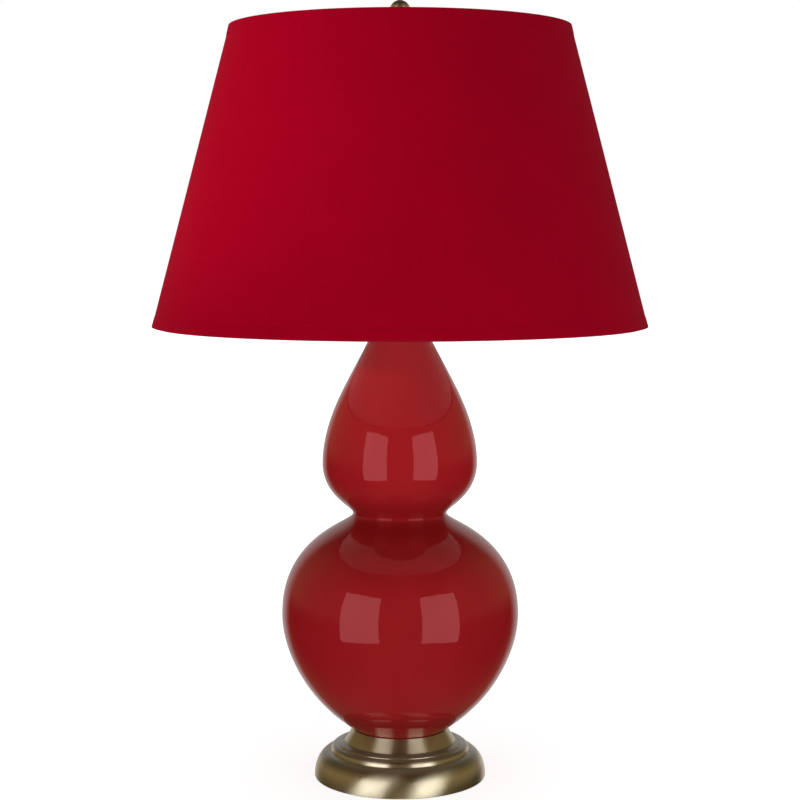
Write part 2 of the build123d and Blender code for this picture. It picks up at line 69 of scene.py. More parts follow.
def clamped(value):
    return min(1.0, max(0.0, value))


def eased(value):
    """A smooth step from 0 to 1."""
    t = clamped(value)
    return t * t * (3 - 2 * t)


# ---- outlines -------------------------------------------------------------------------------
def arc(centre, radii, start, end, steps):
    """Points on an ellipse between two angles in degrees, both ends included."""
    angles = [radians(start + (end - start) * i / steps) for i in range(steps + 1)]
    return [(centre[0] + radii[0] * cos(a), centre[1] + radii[1] * sin(a)) for a in angles]


def bezier(a, b, c, d, steps):
    """Points on a cubic curve, without its first."""
    points = []
    for i in range(1, steps + 1):
        t = i / steps
        weights = ((1 - t) ** 3, 3 * t * (1 - t) ** 2, 3 * t * t * (1 - t), t**3)
        points.append(tuple(sum(w * p[k] for w, p in zip(weights, (a, b, c, d))) for k in (0, 1)))
    return points


def soften(outline, radius, closed=True, least=28, steps=4):
    """The outline with each corner that turns by more than `least` degrees rounded off."""
    rounded = []
    count = len(outline)
    for i, point in enumerate(outline):
        if not closed and i in (0, count - 1):
            rounded.append(point)
            continue
        before, after = Vector(outline[i - 1]), Vector(outline[(i + 1) % count])
        here = Vector(point)
        back, on = before - here, after - here
        if back.length < 1e-6 or on.length < 1e-6 or degrees(pi - back.angle(on)) < least:
            rounded.append(point)
            continue
        turn = pi - back.angle(on)
        run = min(radius * tan(turn / 2), 0.45 * back.length, 0.45 * on.length)
        start, end = here + back.normalized() * run, here + on.normalized() * run
        for j in range(steps + 1):
            t = j / steps
            rounded.append(tuple(start * (1 - t) ** 2 + here * 2 * t * (1 - t) + end * t * t))
    return rounded


def filleted(points, radius, steps=14):
    """A run of (x, z) points with each inner corner turned into an arc of one radius."""
    path = [Vector(points[0])]
    for before, here, after in zip(points, points[1:], points[2:]):
        here = Vector(here)
        back, on = (Vector(before) - here).normalized(), (Vector(after) - here).normalized()
        half = back.angle(on) / 2
        centre = here + (back + on).normalized() * (radius / sin(half))
        first = here + back * (radius / tan(half)) - centre
        last = here + on * (radius / tan(half)) - centre
        turn = first.angle_signed(last)
        path += [centre + Matrix.Rotation(-turn * i / steps, 2) @ first for i in range(steps + 1)]
    return path + [Vector(points[-1])]


# ---- meshes ---------------------------------------------------------------------------------
def mesh_object(name, vertices, faces, crease=40):
    """A smooth-shaded mesh from millimetre vertices, sharp only where it turns by more than crease."""
    mesh = bpy.data.meshes.new(name)
    mesh.from_pydata([Vector(v) * MM for v in vertices], [], faces)
    work = bmesh.new()
    work.from_mesh(mesh)
    bmesh.ops.recalc_face_normals(work, faces=work.faces)
    work.to_mesh(mesh)
    work.free()
    mesh.shade_smooth()
    mesh.set_sharp_from_angle(angle=radians(crease))
    obj = bpy.data.objects.new(name, mesh)
    bpy.context.scene.collection.objects.link(obj)
    return obj


def turned(name, outline, steps=192, closed=True, shape=None, angles=None):
    """A piece turned about the lamp's axis. shape(r, z, angle) may move a point."""
    angles = angles or [2 * pi * i / steps for i in range(steps)]
    vertices, rings, faces = [], [], []
    for r, z in outline:
        ring_angles = angles if r > 1e-6 else angles[:1]
        rings.append((len(vertices), len(ring_angles)))
        for a in ring_angles:
            point = shape(r, z, a) if shape else (r, z)
            vertices.append((point[0] * cos(a), point[0] * sin(a), point[1]))
    pairs = list(zip(rings, rings[1:]))
    if closed:
        pairs.append((rings[-1], rings[0]))
    count = len(angles)
    for (start_a, size_a), (start_b, size_b) in pairs:
        for i in range(count):
            j = (i + 1) % count
            corners = [start_a + i % size_a, start_a + j % size_a]
            corners += [start_b + j % size_b, start_b + i % size_b]
            corners = list(dict.fromkeys(corners))
            if len(corners) > 2:
                faces.append(corners)
    return mesh_object(name, vertices, faces)


def skin(rings, sides, closed=False):
    """Faces over a run of rings, each with as many corners, and over both ends unless it is closed."""
    faces = []
    for i in range(rings if closed else rings - 1):
        a, b = i * sides, (i + 1) % rings * sides
        faces += [(a + k, a + (k + 1) % sides, b + (k + 1) % sides, b + k) for k in range(sides)]
    if not closed:
        faces.append(tuple(range(sides)))
        faces.append(tuple((rings - 1) * sides + k for k in reversed(range(sides))))
    return faces


def rod(points, radius, flat, sides, closed=False, end_round=0.35):
    """Vertices and faces of a wire along points that lie in the plane with normal `flat`."""
    vertices = []
    flat = Vector(flat)
    points = [Vector(p) for p in points]
    count = len(points)
    rings = []
    for i, point in enumerate(points):
        before = points[i - 1] if closed or i else point
        after = points[(i + 1) % count] if closed or i < count - 1 else point
        tangent = (after - before).normalized()
        rings.append((point, tangent, radius))
    if not closed:
        first, first_way, _ = rings[0]
        last, last_way, _ = rings[-1]
        inset = radius * end_round
        steps = ((0, inset), (inset * 0.3, inset * 0.3), (inset, 0))
        start = [(first + first_way * along, first_way, radius - less) for along, less in steps]
        end = [(last - last_way * along, last_way, radius - less) for along, less in reversed(steps)]
        rings = start + rings[1:-1] + end
    for point, tangent, r in rings:
        across = tangent.cross(flat).normalized()
        for k in range(sides):
            a = 2 * pi * k / sides
            vertices.append(point + across * r * cos(a) + flat * r * sin(a))
    return vertices, skin(len(rings), sides, closed)


def joined(name, parts):
    """One object from several lists of vertices and faces."""
    vertices, faces = [], []
    for part_vertices, part_faces in parts:
        start = len(vertices)
        vertices += part_vertices
        faces += [tuple(start + i for i in face) for face in part_faces]
    return mesh_object(name, vertices, faces)


def cut(obj, cutter):
    """Takes the cutter's volume out of obj, and removes the cutter."""
    modifier = obj.modifiers.new("cut", "BOOLEAN")
    modifier.object = cutter
    modifier.solver = "EXACT"
    graph = bpy.context.evaluated_depsgraph_get()
    mesh = bpy.data.meshes.new_from_object(obj.evaluated_get(graph))
    obj.modifiers.clear()
    obj.data = mesh
    mesh.set_sharp_from_angle(angle=radians(40))
    bpy.data.objects.remove(cutter)


def bored(obj, radius, start, end, at, turn, sides=40):
    """Bores obj with a round cutter, from start to end along Z, turned about X and moved to `at`."""
    cutter = turned("cutter", [(0, start), (radius, start), (radius, end), (0, end)], sides, False)
    cutter.data.transform(Matrix.Translation(Vector(at) * MM) @ Matrix.Rotation(turn, 4, "X"))
    cut(obj, cutter)


def place(obj, body, slot, finish, *nodes):
    """Gives a piece its finish and the body that it moves with, in the place of CAD nodes."""
    obj.data.materials.clear()
    obj.data.materials.append(finish)
    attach(obj, body)
    if nodes:
        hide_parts(*nodes)
    return obj


def dress(node, finish):
    """Gives a CAD node that stays its finish."""
    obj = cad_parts[node]
    obj.data.materials.clear()
    obj.data.materials.append(finish)
    obj.data.shade_smooth()
    obj.data.set_sharp_from_angle(angle=radians(35))


# ---- finishes -------------------------------------------------------------------------------
class Nodes:
    """A node tree, built a node at a time. A socket takes a value or another node's output."""

    def __init__(self, tree):
        self.tree = tree

    def set(self, socket, value):
        if isinstance(value, bpy.types.NodeSocket):
            self.tree.links.new(value, socket)
        elif isinstance(value, tuple) and len(value) == 3 and len(socket.default_value) == 4:
            socket.default_value = (*value, 1)
        else:
            socket.default_value = value

    def node(self, kind, inputs=(), **settings):
        node = self.tree.nodes.new("ShaderNode" + kind)
        for key, value in settings.items():
            setattr(node, key, value)
        for key, value in dict(inputs).items():
            self.set(node.inputs[key], value)
        return node

    def math(self, operation, a, b=0.0, clamp=False):
        return self.node("Math", {0: a, 1: b}, operation=operation, use_clamp=clamp).outputs[0]

    def spread(self, value, low_in, high_in, low_out=0.0, high_out=1.0, kind="LINEAR"):
        """Stretches what lies between two limits to run between two others."""
        inputs = {0: value, 1: low_in, 2: high_in, 3: low_out, 4: high_out}
        return self.node("MapRange", inputs, clamp=True, interpolation_type=kind).outputs[0]


class Finish(Nodes):
    """A material. Lengths are in metres, as the frame's are."""

    def __init__(self, name, **sockets):
        self.material = bpy.data.materials.new(name)
        self.material.use_nodes = True
        super().__init__(self.material.node_tree)
        self.shader = self.tree.nodes["Principled BSDF"]
        self.place = self.node("TexCoord").outputs["Object"]
        self.paint(**sockets)

    def paint(self, **sockets):
        """Sets the shader's sockets, each named with _ for its spaces."""
        for key, value in sockets.items():
            self.set(self.shader.inputs[key.replace("_", " ")], value)

    def noise(self, size, detail=3.0, stretch=(1, 1, 1), rough=0.5, vector=None):
        """Noise with features about `size` metres across, drawn out by stretch."""
        scale = tuple(1 / s for s in stretch)
        scaled = self.node("Mapping", {"Vector": vector or self.place, "Scale": scale}).outputs[0]
        inputs = {"Vector": scaled, "Scale": 1 / size, "Detail": detail, "Roughness": rough}
        return self.node("TexNoise", inputs).outputs[0]

    def mix(self, share, a, b):
        return self.node("Mix", {0: share, 6: a, 7: b}, data_type="RGBA").outputs[2]

    def axes(self):
        return self.node("SeparateXYZ", {0: self.place}).outputs

    def vector(self, x, y, z):
        return self.node("CombineXYZ", {0: x, 1: y, 2: z}).outputs[0]

    def bump(self, height, depth, strength=1.0, normal=None):
        inputs = {"Height": height, "Distance": depth, "Strength": strength}
        if normal:
            inputs["Normal"] = normal
        return self.node("Bump", inputs).outputs[0]

    def around(self):
        """Distance round the axis in radians from the front, so that the break is at the back."""
        x, y, _ = self.axes()
        return self.math("ARCTAN2", x, self.math("MULTIPLY", y, -1.0))

    def away(self):
        """Distance from the lamp's axis."""
        x, y, _ = self.axes()
        squares = self.math("ADD", self.math("MULTIPLY", x, x), self.math("MULTIPLY", y, y))
        return self.math("SQRT", squares)


THREAD = 0.00042         # width of a thread of the shade's cloth
SLUB, SLUB_LENGTH = 0.0011, 38
WEAVE_RADIUS = 0.205     # middle radius of the shade, where the threads have their width


def cloth_finish(name, colour, dark, bias=False):
    """Plain-woven cotton: threads over and under, slubs, painted shade between the threads, a faint
    sheen.
    """
    finish = Finish(name, Roughness=0.95, Sheen_Weight=0.045, Sheen_Roughness=0.35)
    finish.paint(Specular_IOR_Level=0.02, Sheen_Tint=(1.0, 0.35, 0.42))
    _, _, z = finish.axes()
    across, along = finish.math("MULTIPLY", finish.around(), WEAVE_RADIUS), z
    if bias:
        across, along = finish.math("ADD", across, z), finish.math("SUBTRACT", across, z)
    warp = finish.math("SINE", finish.math("MULTIPLY", across, pi / THREAD))
    weft = finish.math("SINE", finish.math("MULTIPLY", along, pi / THREAD))
    over = finish.math("GREATER_THAN", finish.math("MULTIPLY", warp, weft), 0.0)
    warp_height = finish.math("ABSOLUTE", warp)
    weft_height = finish.math("ABSOLUTE", weft)
    difference = finish.math("SUBTRACT", warp_height, weft_height)
    weave = finish.math("ADD", weft_height, finish.math("MULTIPLY", difference, over))
    threads = finish.vector(across, along, 0.0)
    warp_slub = finish.noise(SLUB, 2, (1, SLUB_LENGTH, 1), vector=threads)
    weft_slub = finish.noise(SLUB, 2, (SLUB_LENGTH, 1, 1), vector=threads)
    slub = finish.math("ADD", warp_slub, weft_slub)
    cloud = finish.noise(0.06, 3)
    shade = finish.spread(slub, 0.7, 1.3, 0.0, 0.6)
    shade = finish.math("ADD", shade, finish.spread(cloud, 0.35, 0.65, 0.0, 0.16), clamp=True)
    # Painted shade: the low places between the threads are darker.
    shade = finish.math("ADD", shade, finish.spread(weave, 0.0, 0.5, 0.22, 0.0), clamp=True)
    relief = finish.bump(weave, 0.00006, 0.7)
    relief = finish.bump(slub, 0.00012, 0.5, relief)
    finish.paint(Base_Color=finish.mix(shade, colour, dark), Normal=relief)
    return finish.material


GLAZE_LIGHT, GLAZE_DARK = (0.40, 0.0122, 0.0170), (0.235, 0.0072, 0.0088)
GLAZE_SPECK = (0.09, 0.003, 0.004)
# Painted shade along the gourd's height, from its foot at 0 to its neck at 1, with 1 darkest: darkest in
# a band just above the foot and just below the waist, middling over the belly and lightest over the
# crown.
GLAZE_PAINTED_SHADE = (
    (0.0, 0.4), (0.04, 0.8), (0.062, 1.0), (0.083, 0.4), (0.17, 0.45), (0.28, 0.5), (0.37, 0.38),
    (0.44, 0.7), (0.485, 1.0), (0.515, 0.7), (0.56, 0.3), (0.64, 0.05), (0.80, 0.0), (1.0, 0.05),
)


def glaze_finish():
    """Deep red glaze, clear and glossy: painted shade along its height, over a random cloud of tone."""
    finish = Finish("red_glaze", Roughness=0.03, IOR=1.48, Specular_Tint=(1.0, 0.42, 0.41))
    _, _, z = finish.axes()
    height = finish.spread(z, low("gourd_body") * MM, high("gourd_body") * MM)
    painted_shade_ramp = finish.node("ValToRGB", {0: height})
    ramp = painted_shade_ramp.color_ramp
    ramp.interpolation = "B_SPLINE"
    while len(ramp.elements) < len(GLAZE_PAINTED_SHADE):
        ramp.elements.new(0.5)
    for element, (at, value) in zip(ramp.elements, GLAZE_PAINTED_SHADE):
        element.position = at
        element.color = (value, value, value, 1)
    cloud = finish.spread(finish.noise(0.035, 4, (1, 1, 1.6)), 0.3, 0.7, -0.07, 0.07)
    # How dark the glaze is: painted shade from the ramp, plus the random cloud of tone.
    depth = finish.math("ADD", painted_shade_ramp.outputs[0], cloud, clamp=True)
    colour = finish.mix(depth, GLAZE_LIGHT, GLAZE_DARK)
    speck = finish.spread(finish.noise(0.0016, 1), 0.78, 0.86)
    colour = finish.mix(finish.math("MULTIPLY", speck, 0.35), colour, GLAZE_SPECK)
    swell = finish.bump(finish.noise(0.028, 2), 0.00035, 0.55)
    peel = finish.bump(finish.noise(0.0045, 2), 0.00002, 0.5, swell)
    smear = finish.spread(finish.noise(0.05, 3), 0.3, 0.7, 0.02, 0.045)
    finish.paint(Base_Color=colour, Normal=peel, Roughness=smear)
    return finish.material


# Colour of the painted shade laid over the brass's upward faces.
UPWARD_SHADE_COLOUR = (0.085, 0.075, 0.028)
SKIRT_TOP = (0.0255, 0.0265)                 # heights between which the brushing changes its lean
LEANING, LEVEL = 0.19, 0.25                  # lean of the brushing below and above, in turns


def brass_finish(name, bright, dark, patina, rough, drawn=0.0, upward_shade=0.0):
    """Brass brushed on a lathe: highlights drawn out across the lines, rubbed edges, and painted shade
    that darkens the upward faces and makes them less metallic."""
    finish = Finish(name, IOR=1.5, Anisotropic=drawn, Coat_Weight=0.5, Coat_Roughness=0.2)
    _, _, z = finish.axes()
    if drawn:
        tangent = finish.node("Tangent", direction_type="RADIAL", axis="Z").outputs[0]
        lean = finish.spread(z, *SKIRT_TOP, LEANING, LEVEL)
        finish.paint(Tangent=tangent, Anisotropic_Rotation=lean)
    cloud = finish.noise(0.022, 5, (1, 1, 0.6), 0.6)
    stain = finish.spread(finish.noise(0.0032, 3, (1, 1, 0.5)), 0.45, 0.75, 0.0, patina * 0.25)
    depth = finish.math("ADD", finish.spread(cloud, 0.32, 0.68, 0.0, patina), stain, clamp=True)
    rubbed = finish.spread(finish.node("NewGeometry").outputs["Pointiness"], 0.505, 0.56, 0.0, 0.8)
    depth = finish.math("SUBTRACT", depth, rubbed, clamp=True)
    colour = finish.mix(depth, bright, dark)
    upward = finish.node("SeparateXYZ", {0: finish.node("TexCoord").outputs["Normal"]}).outputs[2]
    # Painted shade: the upward faces are darkened and made less metallic.
    upward_shade_share = finish.spread(upward, 0.40, 0.80, 0.0, upward_shade)
    unshaded_metallic = finish.spread(upward, 0.70, 0.90, 1.0, 1.0 - upward_shade)
    finish.paint(Base_Color=finish.mix(upward_shade_share, colour, UPWARD_SHADE_COLOUR), Metallic=unshaded_metallic)
    ring = finish.math("ADD", z, finish.math("MULTIPLY", finish.away(), 0.7))
    turning = finish.noise(0.00045, 3, vector=finish.vector(0.0, 0.0, ring))
    relief = finish.bump(turning, 0.00001, 0.6)
    relief = finish.bump(finish.noise(0.006, 2), 0.00004, 0.35, relief)
    smear = finish.spread(finish.noise(0.012, 4), 0.3, 0.7, rough * 0.9, rough * 1.15)
    finish.paint(Normal=relief, Roughness=smear)
    return finish.material


def plain_finish(name, cloud, colours, relief, worn=None, even=False, **sockets):
    """A plain material: a cloud of noise between two colours, over layers of fine relief. Each layer
    is its own noise, or the cloud where it names none. The roughness wears with the cloud."""
    finish = Finish(name, **sockets)
    tone = finish.noise(*cloud)
    normal = None
    for grain, depth, strength in relief:
        height = finish.noise(*grain) if grain else tone
        normal = finish.bump(height, depth, strength, normal)
    share = finish.spread(tone, 0.3, 0.7) if even else tone
    finish.paint(Base_Color=finish.mix(share, *colours), Normal=normal)
    if worn:
        finish.paint(Roughness=finish.spread(tone, 0.3, 0.7, *worn))
    return finish.material


def metal_finish(name, bright, dark, rough):
    """Plain plated metal, cloudy and slightly grained."""
    relief = [((0.0012, 4), 0.000096, 0.6)]
    worn = (rough, rough * 1.4)
    return plain_finish(name, (0.009, 4), (bright, dark), relief, worn, even=True, Metallic=1.0)


def soft_black_finish(name, colour, fibre, depth, rough, sheen):
    """Felt or rubber: a fibrous or moulded skin in near black."""
    finish = Finish(name, Roughness=rough, Sheen_Weight=sheen, Sheen_Roughness=0.5)
    hairs = finish.noise(fibre, 5, (1, 1, 1), 0.75)
    cloud = finish.noise(fibre * 12, 2)
    pale = tuple(min(1.0, c * 2.6 + 0.004) for c in colour)
    shade = finish.math("MULTIPLY", hairs, cloud)
    finish.paint(Base_Color=finish.mix(shade, colour, pale), Normal=finish.bump(hairs, depth, 0.8))
    return finish.material


RUBY, RUBY_DARK = (0.378, 0.0, 0.0133), (0.293, 0.0, 0.0098)
ANTIQUE, ANTIQUE_DARK = (0.76, 0.65, 0.43), (0.52, 0.43, 0.24)
FITTING, FITTING_DARK = (0.72, 0.52, 0.22), (0.40, 0.26, 0.10)
shade_cloth = cloth_finish("shade_cloth", RUBY, RUBY_DARK)
hem_cloth = cloth_finish("hem_cloth", RUBY, RUBY_DARK, bias=True)
red_glaze = glaze_finish()
antique_brass = brass_finish("antique_brass", ANTIQUE, ANTIQUE_DARK, 0.22, 0.35, 0.92, 0.9)
fitting_brass = brass_finish("fitting_brass", FITTING, FITTING_DARK, 0.45, 0.2)
ballast_iron = plain_finish(
    "ballast_iron", (0.0018, 5, (1, 1, 1), 0.7), ((0.03, 0.03, 0.032), (0.09, 0.085, 0.08)),
    [(None, 0.0006, 0.8)], Metallic=0.4, Roughness=0.7,
)
zinc_steel = metal_finish("zinc_steel", (0.62, 0.63, 0.66), (0.42, 0.43, 0.46), 0.3)
black_felt = soft_black_finish("black_felt", (0.008, 0.008, 0.009), 0.0007, 0.0005, 0.95, 0.4)
black_rubber = soft_black_finish("black_rubber", (0.012, 0.012, 0.012), 0.0005, 0.00005, 0.55, 0.05)
black_phenolic = plain_finish(
    "black_phenolic", (0.004, 4, (1, 1, 2.4)), ((0.010, 0.009, 0.008), (0.03, 0.022, 0.016)),
    [((0.0014, 2), 0.00002, 0.5)], worn=(0.16, 0.34), IOR=1.6,
)
insulating_card = plain_finish(
    "insulating_card", (0.0012, 5, (1, 1, 3), 0.7), ((0.22, 0.13, 0.06), (0.36, 0.23, 0.12)),
    [(None, 0.0001, 0.6)], Roughness=0.8,
)
shade_styrene = plain_finish(
    "shade_styrene", (0.03, 3, (1, 1, 2)), ((0.86, 0.83, 0.77), (0.93, 0.91, 0.86)),
    [(None, 0.0004, 0.4), ((0.0006, 2), 0.00002, 0.5)], Roughness=0.42, IOR=1.5,
)
bulb_glass = plain_finish(
    "bulb_glass", (0.02, 3), ((0.90, 0.89, 0.86), (0.96, 0.95, 0.93)),
    [((0.012, 2), 0.0001, 0.25)], Roughness=0.3, Coat_Weight=1.0, Coat_Roughness=0.04,
    Subsurface_Weight=0.25, Subsurface_Scale=0.004,
)
bulb_metal = metal_finish("bulb_metal", (0.74, 0.73, 0.70), (0.56, 0.55, 0.53), 0.24)


# ---- glazed double gourd --------------------------------------------------------------------
FOOT, FOOT_HEIGHT = 45.2, 3.4
FOOT_FLARE, FOOT_PULL = radians(57.0), 70.0
BELLY, BELLY_RISE, BELLY_PULLS = 117.5, 116.3, (23.9, 79.2)
WAIST, WAIST_RISE, WAIST_PULLS = 46.4, 100.9, (10.6, 7.7)
CROWN, CROWN_RISE, CROWN_PULLS = 76.4, 50.5, (34.2, 53.1)
THROAT, THROAT_RISE = 20.0, 145.3
THROAT_LEAN, THROAT_PULL = radians(21.2), 49.4
NECK, NECK_TAPER = 18.5, 4.0
GOURD_WALL, GOURD_FLOOR, GOURD_HOLE = 5.5, 7.0, 8.0
foot_z, neck_top_z = low("gourd_body"), high("gourd_body")
belly_z = foot_z + FOOT_HEIGHT + BELLY_RISE
waist_z = belly_z + WAIST_RISE
crown_z = waist_z + CROWN_RISE
throat_z = crown_z + THROAT_RISE


def gourd_side(inset, steps):
    """The gourd's side from the foot's top to the throat, moved towards the axis by inset."""
    foot = (FOOT - inset, foot_z + FOOT_HEIGHT)
    belly, waist = (BELLY - inset, belly_z), (WAIST - inset, waist_z)
    crown, throat = (CROWN - inset, crown_z), (THROAT - inset, throat_z)
    flare = (foot[0] + FOOT_PULL * sin(FOOT_FLARE), foot[1] + FOOT_PULL * cos(FOOT_FLARE))
    lean = (throat[0] + THROAT_PULL * sin(THROAT_LEAN), throat_z - THROAT_PULL * cos(THROAT_LEAN))
    side = [foot]
    side += bezier(foot, flare, (belly[0], belly_z - BELLY_PULLS[0]), belly, steps)
    off, on = (belly[0], belly_z + BELLY_PULLS[1]), (waist[0], waist_z - WAIST_PULLS[0])
    side += bezier(belly, off, on, waist, steps)
    off, on = (waist[0], waist_z + WAIST_PULLS[1]), (crown[0], crown_z - CROWN_PULLS[0])
    side += bezier(waist, off, on, crown, steps)
    side += bezier(crown, (crown[0], crown_z + CROWN_PULLS[1]), lean, throat, steps)
    return side


def hand_thrown(r, z, angle):
    """The slight swell and dip of a thrown and glazed wall."""
    swell = 0.16 * sin(3 * angle + z / 61) + 0.10 * sin(5 * angle - z / 37)
    swell += 0.07 * sin(z / 9.5 + 2 * angle)
    share = clamped((z - foot_z - 12) / 30) * clamped((neck_top_z - 25 - z) / 30)
    return r + swell * share, z


def make_gourd():
    """The thrown body, hollow, with a hole through its floor for the lamp pipe."""
    outer = [(GOURD_HOLE, foot_z), (FOOT, foot_z)] + gourd_side(0, 46)
    outer += [(NECK, throat_z + NECK_TAPER), (NECK, neck_top_z)]
    inner = [(r, z) for r, z in gourd_side(GOURD_WALL, 14) if z > foot_z + GOURD_FLOOR]
    inner += [(NECK - GOURD_WALL, neck_top_z)]
    floor = [(FOOT, foot_z + GOURD_FLOOR), (GOURD_HOLE, foot_z + GOURD_FLOOR)]
    outline = soften(outer + inner[::-1] + floor, 1.6, least=24)
    gourd = turned("gourd", outline, steps=288, shape=hand_thrown)
    place(gourd, "lamp", "red_glaze", red_glaze, "gourd_body")


make_gourd()


# ---- brass pedestal -------------------------------------------------------------------------
CUP_BORE, CUP_RIM = 46.1, 47.15
CUP_SLOPE, CUP_FILLET = radians(58.8), 3.3
SHOULDER_WIDTH, SHOULDER_ROUND = 5.2, 11.0
BEAD_ROUND, STEP_HEIGHT = 6.5, 0.57
SKIRT_REACH, SKIRT_HEIGHT, SKIRT_LIFT, LIP_LIFT = 16.3, 24.7, 1.5, 0.5
PEDESTAL_WALL, SEAT_PLATE, CUP_DEPTH = 2.2, 3.0, 4.85
LIP_WALL, LEDGE_WIDTH, LEDGE_THICKNESS, PAD_THICKNESS = 1.6, 6.0, 1.6, 2.5
crease_z = SKIRT_LIFT + SKIRT_HEIGHT
bead_top_z = crease_z + BEAD_ROUND
step_top_z = bead_top_z + STEP_HEIGHT
shoulder_z = step_top_z + SHOULDER_ROUND - sqrt(SHOULDER_ROUND**2 - SHOULDER_WIDTH**2)
cup_rim_z = high("base_shell")
seat_z = cup_rim_z - CUP_DEPTH
base_radius = reach("base_shell")
crease_radius = base_radius - SKIRT_REACH
step_radius = crease_radius - BEAD_ROUND
shoulder_radius = step_radius - SHOULDER_WIDTH
PIPE = 5.2


def make_pedestal():
    """A spun brass pedestal: skirt, bead, step, shoulder and cup, open below."""
    slope = degrees(CUP_SLOPE)
    round_angle = degrees(atan(SHOULDER_WIDTH / sqrt(SHOULDER_ROUND**2 - SHOULDER_WIDTH**2)))
    outer = [(base_radius - LIP_WALL, LIP_LIFT), (base_radius, LIP_LIFT)]
    outer += arc((crease_radius, SKIRT_LIFT), (SKIRT_REACH, SKIRT_HEIGHT), 0, 90, 30)
    outer += arc((step_radius, crease_z), (BEAD_ROUND, BEAD_ROUND), 0, 90, 14)
    outer += [(step_radius, step_top_z)]
    shoulder_centre = (shoulder_radius, shoulder_z - SHOULDER_ROUND)
    outer += arc(shoulder_centre, (SHOULDER_ROUND, SHOULDER_ROUND), 90 - round_angle, 90, 8)
    fillet_centre = (shoulder_radius, shoulder_z + CUP_FILLET)
    outer += arc(fillet_centre, (CUP_FILLET, CUP_FILLET), 270, 270 - slope, 8)
    outer += [(CUP_RIM, cup_rim_z), (CUP_BORE, cup_rim_z), (CUP_BORE, seat_z), (PIPE, seat_z)]
    seat_under, shoulder_under = seat_z - SEAT_PLATE, shoulder_z - PEDESTAL_WALL
    inner_radii = (SKIRT_REACH - PEDESTAL_WALL, SKIRT_HEIGHT - PEDESTAL_WALL)
    inner_skirt = arc((crease_radius, SKIRT_LIFT), inner_radii, 90, 6.5, 14)
    lip_bore, ledge_top = base_radius - LIP_WALL, PAD_THICKNESS + LEDGE_THICKNESS
    ledge_bore = lip_bore - LEDGE_WIDTH
    inner = [(PIPE, seat_under), (CUP_BORE - 3, seat_under)]
    inner += [(shoulder_radius - 3, shoulder_under), (shoulder_radius, shoulder_under)] + inner_skirt
    inner += [(inner_skirt[-1][0], ledge_top), (ledge_bore, ledge_top)]
    inner += [(ledge_bore, PAD_THICKNESS), (lip_bore, PAD_THICKNESS)]
    pedestal = turned("pedestal", soften(outer + inner, 0.35), steps=256)
    place(pedestal, "lamp", "antique_brass", antique_brass, "base_shell")
    return pedestal


pedestal = make_pedestal()

INLET_HEIGHT, INLET_LENGTH = 11.0, 8.2
INLET_BORE, INLET_BARREL, INLET_FLANGE = 3.2, 4.6, 6.4


def skirt_depth(x, z):
    """How far back the skirt's surface lies at this height and this far from the centre line."""
    share = clamped((z - SKIRT_LIFT) / SKIRT_HEIGHT)
    radius = crease_radius + SKIRT_REACH * sqrt(1 - share**2)
    return sqrt(radius**2 - x**2)


def make_inlet():
    """The rubber bushing at the back, bedded on the curved skirt, and its hole in the brass."""
    outline = [(INLET_BORE, -INLET_LENGTH), (INLET_BARREL - 0.6, -INLET_LENGTH)]
    outline += [(INLET_BARREL, 0.8 - INLET_LENGTH), (INLET_BARREL, 0.1), (INLET_FLANGE, 0.1)]
    outline += [(INLET_FLANGE, 0.7), (INLET_FLANGE - 0.8, 1.3), (INLET_BARREL, 1.5)]
    outline += [(INLET_BARREL - 0.2, 2.0), (INLET_BORE + 0.5, 2.2), (INLET_BORE, 1.8)]
    bushing = turned("inlet_bushing", soften(outline, 0.3, least=20), steps=64)
    for vertex in bushing.data.vertices:
        x, z, out = vertex.co.x / MM, vertex.co.y / MM + INLET_HEIGHT, vertex.co.z / MM
        vertex.co = Vector((x, skirt_depth(x, z) + out, z)) * MM
    place(bushing, "lamp", "black_rubber", black_rubber, "cord_inlet")
    bored(pedestal, INLET_BARREL + 0.1, -12, 12, (0, base_radius, INLET_HEIGHT), pi / 2, 48)


make_inlet()


def make_felt():
    """The felt disc glued under the pedestal, its cut edge slightly rounded."""
    radius, thickness = reach("base_pad"), high("base_pad")
    radii = [radius * i / 12 for i in range(13)]
    outline = [(r, 0) for r in radii] + [(r, thickness) for r in reversed(radii)]
    felt = turned("felt_pad", soften(outline, 0.7, closed=False), steps=160, closed=False)
    place(felt, "lamp", "black_felt", black_felt, "base_pad")


make_felt()


# ---- threads and hidden fastenings ----------------------------------------------------------
def threaded(pitch, depth, start, end, fade=1.5):
    """A shape that cuts a screw thread between two heights into a turned piece's outer skin."""
    def shape(r, z, angle):
        share = clamped((z - start) / fade) * clamped((end - z) / fade)
        wave = 0.5 - 0.5 * cos(2 * pi * (z / pitch - angle / (2 * pi)))
        return r - depth * share * wave, z
    return shape


def stepped(low_z, high_z, step):
    """Heights between two limits, about `step` apart, both included."""
    count = max(1, round((high_z - low_z) / step))
    return [low_z + (high_z - low_z) * i / count for i in range(count + 1)]


for node, finish in (
    ("base_weight", ballast_iron), ("pipe_washer", zinc_steel), ("pipe_nut", zinc_steel),
    ("lamp_pipe", zinc_steel), ("foot_gasket", black_rubber), ("neck_gasket", black_rubber),
    ("terminal_screws", fitting_brass), ("socket_tongue", fitting_brass), ("socket_core", black_phenolic),
    ("switch_stem", fitting_brass),
):
    dress(node, finish)


